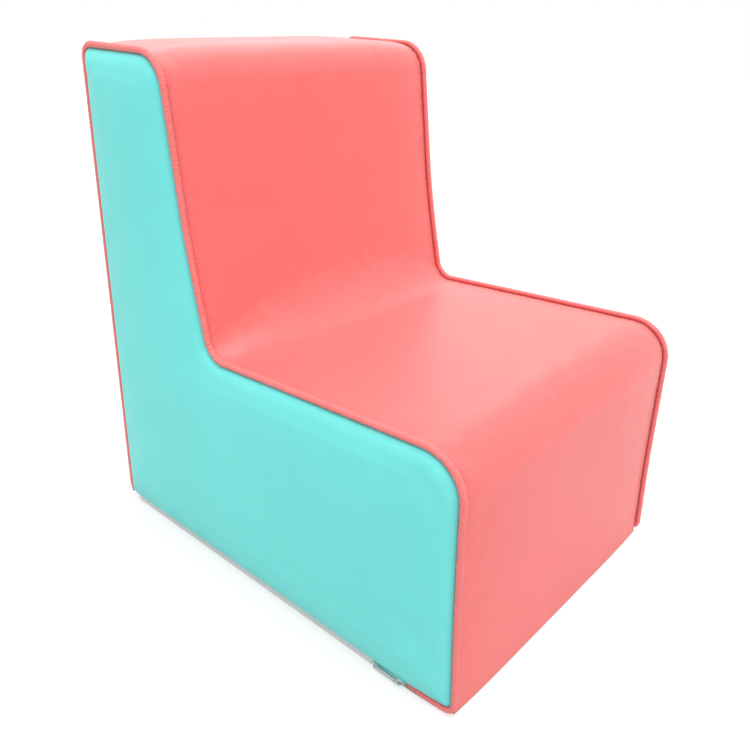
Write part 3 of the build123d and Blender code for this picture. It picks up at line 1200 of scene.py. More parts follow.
@dataclass
class SidePanel:
    """A turquoise side panel, crowned over the foam and turned in below the piping."""

    side: Side
    finish: bpy.types.Material
    rise: float = 0.0072
    lift: float = 0.0012
    reach: float = 0.026
    hem_reach: float = 0.042
    roll: float = 4.2
    edge_swell: float = -0.00015
    bulge: float = 0.0022
    bulge_reach: float = 0.03
    thickness: float = 0.0011
    tuck_depth: float = 0.00007
    bend_reach: float = 0.02
    seam_reach: float = 0.0014
    wear_reach: float = 0.02
    wear_at_seam: float = 0.4
    rings: int = 26
    spacing: float = 0.0034
    trial_pitch: float = 0.011
    spread_parts: int = 60

    def ring_steps(self) -> tuple[list[int], list[int]]:
        """Steps on the straights and the arcs of a ring.

        The ring is cut at the middles of the front foot's, the nose's, the top front's and the top
        rear's arcs, and opposite cuts have as many steps, so that the middle takes a grid. The
        rear foot lies opposite the seat corner.

        Returns:
            Steps on the seven straights and on the six arcs.
        """
        front, seat, rest, _, _ = [
            2 * steps_for(np.linalg.norm(run), 2 * self.spacing)
            for run in np.diff(OUTLINE.corners(0.0)[0], axis=0)
        ]
        foot, nose, inner, top_front, top_rear, rear_foot = 8, 20, 24, 20, 12, 8
        top = front + (foot + nose - top_front - top_rear) // 2
        back = rest + (inner + top_front - top_rear - rear_foot) // 2
        upper = nose // 2 + seat + inner + rest + top_front // 2
        hem = upper - top_rear // 2 - back - rear_foot - foot // 2
        return [hem // 2, front, seat, rest, top, back, hem - hem // 2], [
            foot, nose, inner, top_front, top_rear, rear_foot]

    def ring(self, shares: np.ndarray) -> Sampled:
        """Closed rings of the panel, inset by shares of the roll's reach.

        Each ring starts and ends in the middle of the hem.

        Args:
            shares: each ring's share of the reach, from 0 at the seam.

        Returns:
            The rings, one for each station.
        """
        swell = self.edge_swell - self.reach * shares
        floor = OUTLINE.hem_height + self.hem_reach * shares
        corners = OUTLINE.corners(swell, front_floor=floor, rear_floor=floor)
        middle = (corners[:, :1] + corners[:, -1:]) / 2
        closed = np.concatenate([middle, corners, middle], axis=1)
        straights, arcs = self.ring_steps()
        return RoundedPath(closed, OUTLINE.radii(swell)).sample(straights, arcs)

    def rolled(self, shares: np.ndarray) -> np.ndarray:
        """Height of the panel over the seam plane: rise (1 - (1 - share)^roll) - lift."""
        return self.rise * (1 - (1 - shares) ** self.roll) - self.lift

    def build(self) -> bpy.types.Object:
        """Adds the panel.

        Returns:
            The piece.
        """
        piece = add_piece(
            f"side_cover_{self.side.word}", self.surface(), self.finish,
            [f"side_panel_{self.side.word}"], thickness=self.thickness, weld=True)
        return piece

    def surface(self) -> Surface:
        """The rolled edge as rings and the middle as a grid blended between its four sides.

        The middle rises by bulge (1 - exp(-(d / reach)^2)) at the distance d from its edge.

        Returns:
            The surface, facing outward.
        """
        shares = np.linspace(0, 1, self.rings + 1) ** 1.5
        line = self.ring(shares)
        rim = line.points[:-1]
        lengths = line.lengths[:-1, 0]
        bend = softened(np.abs(line.bends[:-1, 0]), lengths, self.bend_reach)
        away = shares * self.reach
        seed = 21 if self.side is Side.LEFT else 22
        tucks = Puckers(seed=seed, depth=self.tuck_depth).field(lengths, away, bend)
        tucks *= 1 - shares
        middle, distance = self.middle_grid(rim[:, -1])
        trial_places, trial_way = self.trial()
        height = self.rolled(shares)[None, :] + tucks
        height += self.spread(rim, trial_places, trial_way) * shares
        rim_points = self.stand(rim, height)
        flip = self.side is Side.RIGHT
        # seam is painted shade beside the piping, fading over seam_reach.
        outer = Surface.grid(
            np.concatenate([rim_points, rim_points[:1]]),
            np.concatenate([rim, rim[:1]]),
            seam=np.exp(-away / self.seam_reach),
            wear=np.exp(-away / self.wear_reach) * self.wear_at_seam,
            flip=flip,
        )
        risen = 1 - np.exp(-((distance / self.bulge_reach) ** 2))
        top = self.rolled(np.ones(1))[0] + self.bulge * risen
        top = top + self.spread(middle, trial_places, trial_way)
        inner = Surface.grid(self.stand(middle, top), middle, flip=not flip)
        return outer.joined(inner)

    def trial(self) -> tuple[np.ndarray, np.ndarray]:
        """A coarse panel in the cloth trial, held all round its edge.

        Returns:
            Its flat places and how far each moves outward.
        """
        flat = self.ring(np.linspace(0, 1, self.rings // 4))
        outline = flat.points[:-1, 0]
        low, high = outline.min(axis=0), outline.max(axis=0)
        y = np.arange(low[0], high[0] + self.trial_pitch, self.trial_pitch)
        z = np.arange(low[1], high[1] + self.trial_pitch, self.trial_pitch)
        places = np.stack(np.meshgrid(y, z, indexing="ij"), axis=-1)
        inside = within(places.reshape(-1, 2), outline[::4]).reshape(places.shape[:2])
        risen = self.stand(places, inside * self.rise)
        surface = Surface.grid(risen, places, flip=self.side is Side.LEFT)
        way = SWELL.moved(surface, ~inside.ravel())[:, 0] * self.side.value
        return places.reshape(-1, 2), np.clip(way, 0, None)

    def spread(self, places: np.ndarray, sources: np.ndarray, values: np.ndarray) -> np.ndarray:
        """The trial's ways at any places of the panel, by bell weights, a strip of places at a time.

        Args:
            places: (..., 2).
            sources: the trial's flat places.
            values: how far each of them moves.

        Returns:
            A way for each place.
        """
        flat = places.reshape(-1, 2)
        if not values.any():
            return np.zeros(places.shape[:-1])
        strips = np.array_split(flat, self.spread_parts)
        few = [bell_weights(strip, sources, self.trial_pitch) @ values for strip in strips]
        return np.concatenate(few).reshape(places.shape[:-1])

    def stand(self, flat: np.ndarray, height: np.ndarray) -> np.ndarray:
        """Flat places made 3-D.

        Args:
            flat: (..., 2), y and z.
            height: outward from the seam plane, for each place.

        Returns:
            (..., 3).
        """
        x = self.side.value * (OUTLINE.half_width + height)
        return OUTLINE.settled(np.concatenate([x[..., None], flat], axis=-1))

    def middle_grid(self, ring: np.ndarray) -> tuple[np.ndarray, np.ndarray]:
        """The panel's middle, inside its last ring.

        The grid is the blend of the ring's four sides a, b (opposite) and c, d (opposite):
        (1 - v) a + v b + (1 - u) c + u d less the blend of the four corners.

        Args:
            ring: the last ring, (steps, 2).

        Returns:
            The grid's places and their distance from the ring.
        """
        straights, arcs = self.ring_steps()
        first = straights[0] + arcs[0] // 2
        short = arcs[0] // 2 + straights[1] + arcs[1] // 2
        long = arcs[1] // 2 + straights[2] + arcs[2] + straights[3] + arcs[3] // 2
        turned = np.roll(ring, -first, axis=0)
        turned = np.concatenate([turned, turned[:1]])
        front = turned[: short + 1]
        upper = turned[short : short + long + 1]
        top = turned[short + long : 2 * short + long + 1][::-1]
        lower = turned[2 * short + long :][::-1]
        u = np.linspace(0, 1, long + 1)[:, None, None]
        v = np.linspace(0, 1, short + 1)[None, :, None]
        sides = (1 - u) * front[None] + u * top[None] + (1 - v) * lower[:, None] + v * upper[:, None]
        blend = (1 - u) * ((1 - v) * lower[0] + v * upper[0]) + u * ((1 - v) * lower[-1] + v * upper[-1])
        grid = sides - blend
        distance = np.array([
            np.sqrt(((row[:, None] - ring[None]) ** 2).sum(axis=-1).min(axis=-1)) for row in grid])
        distance[[0, -1]] = 0
        distance[:, [0, -1]] = 0
        return grid, distance


@dataclass
class Piping:
    """One side's piping: a cloth-covered cord along the seam, with its tail and the cord inside."""

    side: Side
    finish: bpy.types.Material
    cord_finish: bpy.types.Material
    wall: float = 0.0009
    cord_gap: float = 0.0001
    front_return: float = 0.047
    rear_end: float = 0.0086
    taper: float = 0.034
    thin_front: float = 0.55
    thin_rear: float = 0.7
    gather_depth: float = 0.0003
    gather_gain: float = 0.000008
    gather_waves: tuple[float, ...] = (0.0026, 0.0034, 0.0047, 0.0063, 0.0115)
    gather_drift: float = 9.0
    drift_reach: float = 0.008
    bend_reach: float = 0.016
    sunk_aside: float = 0.4
    around: int = 18
    spacing: float = 0.0009

    def line(self) -> Sampled:
        """The piped seam, from below the front foot up and over to the rear foot.

        Returns:
            Its points, with one station.
        """
        corners = OUTLINE.corners(0.0)[0]
        start = [-OUTLINE.half_depth + self.front_return, OUTLINE.hem_height]
        end = [OUTLINE.half_depth, self.rear_end]
        route = np.concatenate([[start], corners[:5], [end]])[None]
        straights = [steps_for(np.linalg.norm(run), self.spacing) for run in np.diff(route[0], axis=0)]
        radii = OUTLINE.radii(0.0)[:, :5]
        arcs = [steps_for(r * math.pi / 2, self.spacing / 2) for r in radii[0]]
        return RoundedPath(route, radii).sample(straights, arcs)

    def carried(self, u: np.ndarray, n: np.ndarray) -> np.ndarray:
        """A profile carried along the seam.

        A point (u, n) comes to x = side (half width + u) and to the seam's point plus n times the
        seam's normal.

        Args:
            u: outward from the seam plane, the same or one row for each step.
            n: outward from the outline, likewise.

        Returns:
            (steps, profile points, 3).
        """
        line = self.line()
        u, n = np.broadcast_arrays(np.atleast_2d(u), np.atleast_2d(n))
        u = np.broadcast_to(u, (len(line.points), u.shape[1]))
        n = np.broadcast_to(n, (len(line.points), n.shape[1]))
        x = self.side.value * (OUTLINE.half_width + u)
        flat = line.points + line.normals * n[..., None]
        return OUTLINE.settled(np.concatenate([x[..., None], flat], axis=-1))

    def gathers(self, lengths: np.ndarray, angle: np.ndarray, bend: np.ndarray) -> np.ndarray:
        """Height of the small slanting folds in the piping's cloth.

        sum_i sin(2 pi s / wave_i + drift_i) cos(m_i angle + phase_i), deeper where the seam turns
        inward and its cloth is pressed together.

        Args:
            lengths: length along the seam of each step.
            angle: place round the piping of each point of a ring.
            bend: the seam's softened bend at each step, above 0 where it turns inward.

        Returns:
            (steps, ring points).
        """
        rng = np.random.default_rng(31 + self.side.value)
        height = np.zeros((len(lengths), len(angle)))
        for wave in self.gather_waves:
            phase = rng.uniform(0, 2 * math.pi)
            drift = softened(rng.normal(0, 1, len(lengths)), lengths, self.drift_reach)
            turns = rng.choice([-2, -1, 1, 2])
            along = np.sin(2 * math.pi * lengths / wave + drift * self.gather_drift + phase)
            height += along[:, None] * np.cos(turns * angle[None, :] + phase)
        depth = self.gather_depth + self.gather_gain * np.clip(bend, 0, None)
        return height / math.sqrt(len(self.gather_waves)) * depth[:, None]

    def build(self) -> bpy.types.Object:
        """Adds the sleeve, whose section is a circle about the cord with its tail, and the cord.

        Returns:
            The sleeve.
        """
        line = self.line()
        lengths = line.lengths[:, 0]
        bend = softened(line.bends[:, 0], lengths, self.bend_reach)
        angle = np.linspace(0, 2 * math.pi, self.around + 1)[:-1]
        width = FOLD.radius * self.narrowing(lengths)
        radius = width[:, None] + self.gathers(lengths, angle, bend)
        sunk = (FOLD.radius - width)[:, None]
        points = self.carried(
            FOLD.centre_u - sunk * self.sunk_aside + radius * np.cos(angle),
            FOLD.centre_n - sunk + radius * np.sin(angle))
        flat = np.stack(np.broadcast_arrays(angle[None, :] * FOLD.radius, lengths[:, None]), axis=-1)
        flip = self.side is Side.LEFT
        rubbed = 0.6 * np.clip(np.sin(angle), 0, 1)
        # seam is painted shade in the seam's valley below the sleeve.
        tube = Surface.grid(
            points, flat, seam=self.valley(angle), wear=rubbed, closed=True, flip=flip)
        tube = tube.capped(self.around, flip=flip)
        inward = np.array([FOLD.radius - self.wall, FOLD.reach])
        tail = self.carried(*FOLD.at(inward, np.zeros(2)))
        tail_flat = np.stack(np.broadcast_arrays(inward[None, :], lengths[:, None]), axis=-1)
        tube = tube.joined(Surface.grid(tail, tail_flat, flip=flip))
        word = self.side.word
        sleeve = add_piece(
            f"piping_{word}", tube, self.finish, [f"piping_sleeve_{word}"])
        self.add_cord(lengths, angle, flip)
        return sleeve

    @staticmethod
    def valley(angle: np.ndarray) -> np.ndarray:
        """Shade of the seam round the sleeve: most on the diagonal below its middle."""
        off = np.angle(np.exp(1j * (angle - 1.25 * math.pi)))
        return np.exp(-((off / 0.9) ** 2))

    def narrowing(self, lengths: np.ndarray) -> np.ndarray:
        """Share of the piping's full thickness: it thins out under the foot and at its rear end.

        The share is thin + (1 - thin) sin(pi a / 2) at either end, a going from 0 at the end to 1.

        Args:
            lengths: length along the seam of each step.

        Returns:
            A share for each step.
        """
        front = np.clip(lengths / self.taper, 0, 1)
        rear = np.clip((lengths[-1] - lengths) / (self.taper / 2), 0, 1)
        at_front = self.thin_front + (1 - self.thin_front) * np.sin(front * math.pi / 2)
        at_rear = self.thin_rear + (1 - self.thin_rear) * np.sin(rear * math.pi / 2)
        return at_front * at_rear

    def add_cord(self, lengths: np.ndarray, angle: np.ndarray, flip: bool) -> None:
        """Adds the filler cord, inside the sleeve from end to end.

        Args:
            lengths: length along the seam of each step.
            angle: place round the sleeve of each point of a ring.
            flip: whether the faces look the other way.
        """
        radius = FOLD.radius * self.narrowing(lengths) - self.wall - self.cord_gap
        sunk = (FOLD.radius * (1 - self.narrowing(lengths)))[:, None]
        fewer = angle[::2]
        points = self.carried(
            FOLD.centre_u - sunk * self.sunk_aside + radius[:, None] * np.cos(fewer),
            FOLD.centre_n - sunk + radius[:, None] * np.sin(fewer))
        flat = np.stack(np.broadcast_arrays(fewer[None, :] * FOLD.radius, lengths[:, None]), axis=-1)
        cord = Surface.grid(points, flat, closed=True, flip=flip).capped(len(fewer), flip=flip)
        word = self.side.word
        add_piece(
            f"filler_{word}", cord, self.cord_finish, [f"piping_cord_{word}"])


@dataclass
class FoamBlock:
    """The contour-cut foam block, which stands as one closed shape inside the cover."""

    finish: bpy.types.Material
    gap: float = 0.0015
    eased_edge: float = 0.1935
    eased_inset: float = 0.011
    eased_height: float = 0.0184
    side_inset: float = 0.0272
    side_rise: float = 0.006
    side_height: float = 0.0494
    bottom: float = 0.0011
    foot_radius: float = 0.03
    spacing: float = 0.008
    arc_steps: tuple[int, ...] = (6, 10, 12, 10, 6, 8)
    stations: int = 15

    def build(self) -> bpy.types.Object:
        """Adds the block: outlines across X, from one side's flat face to the other's.

        Each outline is the cover's, less the cloth and a gap; the two at either side are drawn in
        for the eased edge and the flat face.

        Returns:
            The piece.
        """
        strip = CoverStrip(CORAL)
        share = np.sin(np.linspace(-1, 1, self.stations) * math.pi / 2) * self.eased_edge / strip.edge
        crown = 1 - np.abs(share) ** strip.crown_power
        low = strip.edge_swell - self.gap - strip.thickness
        swell = self.between_sides(low + strip.crown * crown)
        width = OUTLINE.half_width
        x = [-width - self.side_rise + self.gap, -width + self.gap, *strip.edge * share]
        x = np.array([*x, width - self.gap, width + self.side_rise - self.gap])
        floor = np.full(len(x), self.bottom)
        floor[[0, -1]] = self.side_height
        floor[[1, -2]] = self.eased_height
        corners = OUTLINE.corners(
            swell,
            back=self.between_sides(low + strip.back_crown * crown),
            front_foot=self.between_sides(low + strip.foot_crown * crown),
            rear_foot=self.between_sides(crown * 0 - self.gap - strip.thickness),
            front_floor=floor,
            rear_floor=floor,
        )
        middle = (corners[:, :1] + corners[:, -1:]) / 2
        bridging = strip.bridging * (1 - np.abs(share) ** strip.bridging_power)
        radii = OUTLINE.radii(swell, self.between_sides(bridging))
        radii[:, 5] = self.foot_radius
        closed = np.concatenate([middle, corners, middle], axis=1)
        runs = np.diff(closed[len(x) // 2 - 1], axis=0)
        straights = [steps_for(np.linalg.norm(run), self.spacing) for run in runs]
        line = RoundedPath(closed, radii).sample(straights, self.arc_steps)
        rings = np.swapaxes(line.points[:-1], 0, 1)
        across = np.broadcast_to(x[:, None, None], (*rings.shape[:2], 1))
        points = OUTLINE.settled(np.concatenate([across, rings], axis=-1))
        surface = Surface.grid(points, rings, closed=True).capped(rings.shape[1])
        piece = add_piece("foam_block", surface, self.finish, ["foam_core"])
        return piece

    def between_sides(self, middle: np.ndarray) -> np.ndarray:
        """How far each outline stands out.

        Args:
            middle: the middle outlines' values.

        Returns:
            The same between those of the eased edges and the flat faces.
        """
        eased = [-self.eased_inset, -self.side_inset]
        return np.concatenate([eased[::-1], middle, eased])


@dataclass
class BaseCloth:
    """The flat cloth below the foam, from the strip's front foot to the zip, with round corners."""

    finish: bpy.types.Material
    set_back: float = 0.0015
    front_y: float = -0.25545
    corner_radius: float = 0.0145
    front_radius: float = 0.0075
    thickness: float = 0.0007
    steps: int = 40

    def build(self) -> bpy.types.Object:
        """Adds the cloth: y runs between its front and its rear edge, both shortened by corner arcs.

        Returns:
            The piece.
        """
        half_x = OUTLINE.half_width - self.set_back
        half_y = OUTLINE.half_depth - self.set_back
        x = half_x * np.sin(np.linspace(-1, 1, 2 * self.steps + 1) * math.pi / 2)
        rear = half_y - self.shortened(half_x - np.abs(x), self.corner_radius)
        front = self.front_y + self.shortened(half_x - np.abs(x), self.front_radius)
        share = np.linspace(0, 1, self.steps + 1)[:, None]
        y = front[None, :] + (rear - front)[None, :] * share
        places = np.stack(np.broadcast_arrays(x[None, :], y), axis=-1)
        points = OUTLINE.settled(np.concatenate([places, np.zeros((*y.shape, 1))], axis=-1))
        piece = add_piece(
            "base_cloth", Surface.grid(points, places), self.finish,
            ["base_panel"], thickness=self.thickness)
        return piece

    @staticmethod
    def shortened(from_edge: np.ndarray, radius: float) -> np.ndarray:
        """How far a corner arc draws an edge back, r - sqrt(r^2 - (r - d)^2) at d from the side."""
        past = np.clip(radius - from_edge, 0, radius)
        return radius - np.sqrt(radius ** 2 - past ** 2)


@dataclass
class Zip:
    """The zip round the foot: two tapes, the nylon coil on each and the metal that runs on it."""

    tape_finish: bpy.types.Material
    coil_finish: bpy.types.Material
    metal_finish: bpy.types.Material
    height: float = 0.0048
    corner_radius: float = 0.016
    start_y: float = -0.2082
    end_y: float = -0.2066
    tape_outer: float = -0.0015
    tape_inner: float = -0.002
    tape_top: float = 0.01585
    tape_bottom: float = 0.0008
    tape_gap: float = 0.0001
    tape_width: float = 0.011
    tape_fold: float = 0.0035
    tape_edge: float = 0.0105
    tape_spacing: float = 0.0016
    leg_inner: float = -0.00905
    coil_outer: float = -0.0021
    coil_inner: float = -0.0034
    coil_height: float = 0.0016
    wire: float = 0.00025
    pitch: float = 0.0014
    turn_steps: int = 9
    wire_sides: int = 5
    fork: float = 0.0007
    fork_full: float = 0.0052
    fork_end: float = 0.0069

    def route(self, spacing: float) -> Sampled:
        """The zip's route in plan, from the left front round the back to the right front.

        Args:
            spacing: length of a step.

        Returns:
            Its points, with one station.
        """
        width, rear = OUTLINE.half_width, OUTLINE.half_depth
        corners = np.array([[[-width, self.start_y], [-width, rear], [width, rear], [width, self.end_y]]])
        runs = np.linalg.norm(np.diff(corners[0], axis=0), axis=1)
        arcs = [steps_for(self.corner_radius * math.pi / 2, spacing)] * 2
        return RoundedPath(corners, np.full((1, 2), self.corner_radius)).sample(
            [steps_for(run, spacing) for run in runs], arcs)

    def forked(self, lengths: np.ndarray) -> np.ndarray:
        """How far each half stands aside at the slider: the whole fork, then a ramp down to none."""
        return self.fork * np.clip((self.fork_end - lengths) / (self.fork_end - self.fork_full), 0, 1)

    def carried(self, line: Sampled, u: np.ndarray, z: np.ndarray) -> np.ndarray:
        """A profile carried along the route.

        Args:
            line: the route.
            u: outward from it, the same or one row for each step.
            z: height, likewise.

        Returns:
            (steps, profile points, 3).
        """
        u, z = np.broadcast_arrays(np.atleast_2d(u), np.atleast_2d(z))
        u = np.broadcast_to(u, (len(line.points), u.shape[1]))
        z = np.broadcast_to(z, (len(line.points), z.shape[1]))
        return np.concatenate([line.points + line.normals * u[..., None], z[..., None]], axis=-1)

    def add_tape(self, half: Half) -> None:
        """Adds one tape, a flat strip along the route.

        The upper one stands behind the hem. The lower one turns in below the foam.

        Args:
            half: which tape.
        """
        line = self.route(self.tape_spacing)
        lengths = line.lengths[:, :1]
        edge = self.height + half.value * (self.tape_gap / 2 + self.forked(lengths))
        if half is Half.UPPER:
            u = np.array([self.tape_inner, self.tape_outer, self.tape_outer, self.tape_inner])
            z = edge + (self.tape_top - edge) * np.array([[0, 0, 1, 1]])
            across = np.array([0.0, 0.0, 1.0, 1.0]) * (self.tape_top - self.height)
        else:
            fold = self.tape_bottom + (self.tape_outer - self.tape_inner)
            u = np.array([
                self.tape_outer, self.tape_inner, self.tape_inner, self.leg_inner, self.leg_inner,
                self.tape_outer])
            low = np.array([[0, 0, fold, fold, self.tape_bottom, self.tape_bottom]])
            z = np.where(low == 0, edge, low)
            across = np.repeat([0.0, self.tape_fold, self.tape_edge, self.tape_fold], [2, 1, 2, 1])
        flat = np.stack(np.broadcast_arrays(across[None, :], lengths), axis=-1)
        tape = Surface.grid(self.carried(line, u, z), flat, closed=True, flip=True)
        tape = tape.capped(len(u), flip=True)
        piece = add_piece(
            f"tape_{half.word}", tape, self.tape_finish, [f"zip_tape_{half.word}"])
        piece.data.shade_flat()

    def add_coil(self, half: Half) -> None:
        """Adds one half of the chain: a wire wound into flattened loops.

        The wire's middle is u = u0 + a cos q, z = z0 + b sin q with q = 2 pi s / pitch, and its
        section is a small circle across it.

        Args:
            half: which coil.
        """
        line = self.route(self.pitch / self.turn_steps)
        lengths = line.lengths[:, :1]
        turn = 2 * math.pi * lengths / self.pitch + (0 if half is Half.UPPER else math.pi)
        middle_u = (self.coil_outer + self.coil_inner) / 2
        middle_z = self.height + half.value * (
            self.tape_gap / 2 + self.coil_height / 2 + self.forked(lengths))
        reach_u = (self.coil_outer - self.coil_inner) / 2 - self.wire
        reach_z = self.coil_height / 2 - self.wire
        wound_u = middle_u + reach_u * np.cos(turn)
        wound_z = middle_z + reach_z * np.sin(turn)
        wire = self.carried(line, wound_u, wound_z)[:, 0]
        spine = self.carried(line, np.full((1, 1), middle_u), middle_z)[:, 0]
        ahead = np.gradient(wire, axis=0)
        ahead /= np.linalg.norm(ahead, axis=1, keepdims=True)
        outward = wire - spine
        outward -= ahead * (outward * ahead).sum(axis=1, keepdims=True)
        outward /= np.linalg.norm(outward, axis=1, keepdims=True)
        beside = np.cross(ahead, outward)
        angle = np.linspace(0, 2 * math.pi, self.wire_sides + 1)[:-1, None]
        ring = np.cos(angle) * outward[:, None] + np.sin(angle) * beside[:, None]
        points = wire[:, None] + self.wire * ring
        flat = np.stack(np.broadcast_arrays(angle[:, 0][None] * self.wire, lengths), axis=-1)
        coil = Surface.grid(points, flat, closed=True, flip=True).capped(self.wire_sides, flip=True)
        add_piece(f"coil_{half.word}", coil, self.coil_finish, [f"zip_coil_{half.word}"])

    def build(self) -> None:
        """Adds the tapes and the coils, and dresses the metal nodes."""
        for half in Half:
            self.add_tape(half)
            self.add_coil(half)
        for node in ("zip_slider", "zip_pull", "zip_top_stops", "zip_bottom_stop"):
            dress(node, self.metal_finish)


def dress(node: str, finish: bpy.types.Material) -> None:
    """Gives a CAD node, whose own shape stays, a finish.

    Args:
        node: the node's name.
        finish: its material.
    """
    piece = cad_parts[node]
    piece.data.materials.clear()
    piece.data.materials.append(finish)
    log.info("%s: its own shape, with %s", node, finish.name)


@dataclass
class Garage:
    """The small turquoise flap sewn over the zip's front end."""

    finish: bpy.types.Material
    front_y: float = -0.2079
    length: float = 0.04
    height: float = 0.0082
    fall: float = 0.5
    nose: float = 0.0036
    lift: float = 0.0003
    thickness: float = 0.0012
    dip: float = 0.0013
    dip_start_y: float = -0.1945
    dip_front: float = 0.004
    dip_rear: float = 0.008
    least_rise: float = 0.0002
    fullness: float = 0.0005
    seam_shade: float = 0.8
    columns: int = 60
    rows: int = 12

    def build(self) -> bpy.types.Object:
        """Adds the flap.

        Its upper edge is h exp(-(a / fall)^2) behind the rounded front, a going from 0 there to 1
        at the rear, and it lies on the side panel's roll.

        Returns:
            The piece.
        """
        share = np.linspace(0, 1, self.columns + 1) ** 1.3
        y = self.front_y + self.length * share
        past = np.clip(1 - (y - self.front_y) / self.nose, 0, 1)
        rounded = self.nose * (1 - np.sqrt(1 - past ** 2))
        top = self.height * np.exp(-((share / self.fall) ** 2)) - rounded
        front = np.clip((y - self.dip_start_y) / self.dip_front, 0, 1)
        rear = np.clip((self.front_y + self.length - y) / self.dip_rear, 0, 1)
        low = OUTLINE.hem_height - self.dip * front * rear
        rows = np.linspace(0, 1, self.rows + 1)[:, None]
        z = low + (OUTLINE.hem_height + np.maximum(top, self.least_rise) - low) * rows
        panel = SidePanel(Side.LEFT, self.finish)
        above = np.clip(z - OUTLINE.hem_height, 0, None) / panel.hem_reach
        puff = self.fullness * np.sin(rows * math.pi) * np.sin(share * math.pi) ** 0.5
        height = panel.rolled(above) + self.lift + self.thickness + puff
        places = np.stack(np.broadcast_arrays(y[None, :], z), axis=-1)
        # Painted shade along the flap's upper edge, where the panel overlaps it.
        edge = np.exp(-(1 - rows) * 6) + np.zeros_like(z)
        surface = Surface.grid(panel.stand(places, height), places, seam=edge * self.seam_shade)
        return add_piece(
            "zip_flap", surface, self.finish, ["zip_garage"],
            thickness=self.thickness)


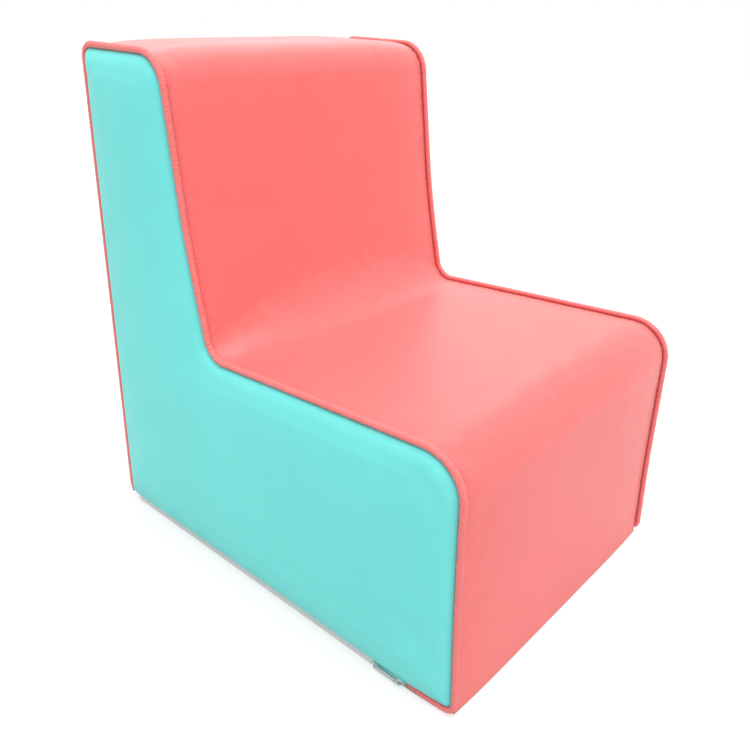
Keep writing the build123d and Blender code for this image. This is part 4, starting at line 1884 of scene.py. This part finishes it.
@dataclass
class Studio:
    """Floor, light and the camera of the photograph."""

    camera_place: tuple[float, float, float] = (-0.65185, -0.51093, 0.58712)
    camera_yaw: float = 0.789
    camera_pitch: float = -0.445
    camera_roll: float = -0.003
    focal_pixels: float = 751.24
    middle_pixels: tuple[float, float] = (304.90, 378.09)
    frame_pixels: float = 750.0
    sensor: float = 36.0
    ambient: float = 0.62
    floor_reach: float = 9.0
    floor_middle: float = 0.02
    floor_rings: int = 24
    floor_spokes: int = 48

    def add_camera(self) -> None:
        """Adds the camera; the shift puts its axis where the photograph has it."""
        data = bpy.data.cameras.new("camera")
        data.sensor_width = self.sensor
        data.lens = self.focal_pixels / self.frame_pixels * self.sensor
        data.shift_x = (self.frame_pixels / 2 - self.middle_pixels[0]) / self.frame_pixels
        data.shift_y = (self.middle_pixels[1] - self.frame_pixels / 2) / self.frame_pixels
        data.clip_start = 0.01
        data.clip_end = 60.0
        camera = bpy.data.objects.new("camera", data)
        camera.location = self.camera_place
        camera.rotation_euler = (math.pi / 2 + self.camera_pitch, self.camera_roll, -self.camera_yaw)
        bpy.context.scene.collection.objects.link(camera)
        bpy.context.scene.camera = camera

    def add_floor(self) -> None:
        """Adds the floor: a round pale sheet that looks white and keeps the chair's shadow."""
        radius = np.linspace(self.floor_middle, self.floor_reach, self.floor_rings)
        angle = np.linspace(0, 2 * math.pi, self.floor_spokes + 1)[:-1]
        x, y = radius[:, None] * np.cos(angle), radius[:, None] * np.sin(angle)
        points = np.stack([x, y, np.zeros_like(x)], axis=-1)
        middle = np.arange(len(angle))
        surface = Surface.grid(points, points[..., :2], closed=True)
        fan = np.stack([np.roll(middle, -1), middle, np.full(len(angle), len(surface.points))], axis=-1)
        surface = Surface(
            np.concatenate([surface.points, np.zeros((1, 3))]), surface.faces + [fan[:, ::-1]],
            np.concatenate([surface.flat, np.zeros((1, 2))]),
            np.append(surface.seam, 0.0), np.append(surface.wear, 0.0))
        floor = bpy.data.objects.new("floor", surface.mesh("floor"))
        bpy.context.scene.collection.objects.link(floor)
        floor.data.materials.append(self.floor_material())

    @staticmethod
    def floor_material() -> bpy.types.Material:
        """Pale matt floor, white to the camera and a little greyer to everything else.

        Returns:
            The material.
        """
        material, graph = new_material("floor_pale")
        seen = graph.node("ShaderNodeLightPath")["Is Camera Ray"]
        mottled = graph.noise(graph.place(), 3.0, 2.0)
        pale = graph.mix(mottled, (0.62, 0.62, 0.62), (0.65, 0.65, 0.65))
        colour = graph.mix(seen, pale, (1.0, 1.0, 1.0))
        matt = graph.node("ShaderNodeBsdfDiffuse", {}, {"Color": colour})
        white = graph.node("ShaderNodeEmission", {}, {"Color": (1.0, 1.0, 1.0), "Strength": 1.0})
        shader = graph.node("ShaderNodeMixShader", {}, {0: seen * 0.6, 1: matt[0], 2: white[0]})
        graph.node("ShaderNodeOutputMaterial", {}, {"Surface": shader[0]})
        return material

    def add_world(self) -> None:
        """Even white light from all round; the camera and gloss see it as plain white."""
        world = bpy.data.worlds.new("studio")
        world.use_nodes = True
        bpy.context.scene.world = world
        graph = Graph(world.node_tree)
        path = graph.node("ShaderNodeLightPath")
        seen = path["Is Camera Ray"].math(
            "MAXIMUM", path["Is Camera Ray"],
            path["Is Camera Ray"].math("MAXIMUM", path["Is Glossy Ray"], path["Is Transmission Ray"]))
        strength = seen * (1 - self.ambient) + self.ambient
        sky = graph.node("ShaderNodeBackground", {}, {"Color": (1.0, 1.0, 1.0), "Strength": strength})
        graph.node("ShaderNodeOutputWorld", {}, {"Surface": sky[0]})

    def add_lamp(self, name: str, azimuth: float, elevation: float, spread: float, level: float) -> None:
        """Adds a distant soft light, even over floor and chair alike.

        Args:
            name: the lamp's name.
            azimuth: where it stands, from the front towards the left, in degrees.
            elevation: how high it stands, in degrees.
            spread: how wide it looks, in degrees.
            level: how much of white it gives a surface that faces it.
        """
        data = bpy.data.lights.new(name, "SUN")
        data.energy = level * math.pi
        data.angle = math.radians(spread)
        lamp = bpy.data.objects.new(name, data)
        lamp.rotation_euler = (math.radians(90 - elevation), 0.0, math.radians(-azimuth))
        bpy.context.scene.collection.objects.link(lamp)

    def build(self) -> None:
        """Adds everything round the chair."""
        self.add_camera()
        self.add_floor()
        self.add_world()
        self.add_lamp("overhead", 30.0, 82.0, 50.0, 0.58)
        self.add_lamp("behind", 228.0, 38.0, 50.0, 0.22)
        self.add_lamp("front", 30.0, 60.0, 60.0, 0.2)
        scene = bpy.context.scene
        scene.view_settings.view_transform = "Standard"
        log.info("studio: camera, floor, world and three lamps")


# shade sets how dark the painted seam shade is on each cloth.
CORAL = ClothFinish(
    "cover_coral_cloth", (0.98, 0.17, 0.16), Weave.COATED, roughness=0.42, shade=0.5, gloss=0.45)
TURQUOISE = ClothFinish("cover_turquoise_cloth", (0.18, 0.83, 0.79), Weave.COATED, shade=0.35)


def main() -> None:
    """Builds the studio and each sub-assembly in order."""
    logging.basicConfig(level=logging.INFO, format="%(name)s: %(message)s")
    Studio().build()
    FoamBlock(FoamFinish().material()).build()
    CoverStrip(CORAL).build()
    turquoise = TURQUOISE.material()
    piping = ClothFinish("piping_cloth", (0.93, 0.21, 0.2), Weave.PIPING, thread=0.0006).material()
    cord = ClothFinish(
        "filler_cord", (0.85, 0.85, 0.82), Weave.TWISTED, thread=0.0025, relief=0.0003).material()
    for side in Side:
        SidePanel(side, turquoise).build()
        Piping(side, piping, cord).build()
    base = ClothFinish("base_felt", (0.78, 0.78, 0.77), Weave.EMBOSSED, thread=0.003, relief=0.0002)
    BaseCloth(base.material()).build()
    tape = ClothFinish(
        "zip_tape_twill", (0.86, 0.86, 0.85), Weave.HERRINGBONE, thread=0.0006, relief=0.00006)
    Zip(tape.material(), NylonFinish().material(), PlatedFinish().material()).build()
    Garage(turquoise).build()


if __name__ == "__main__":
    main()
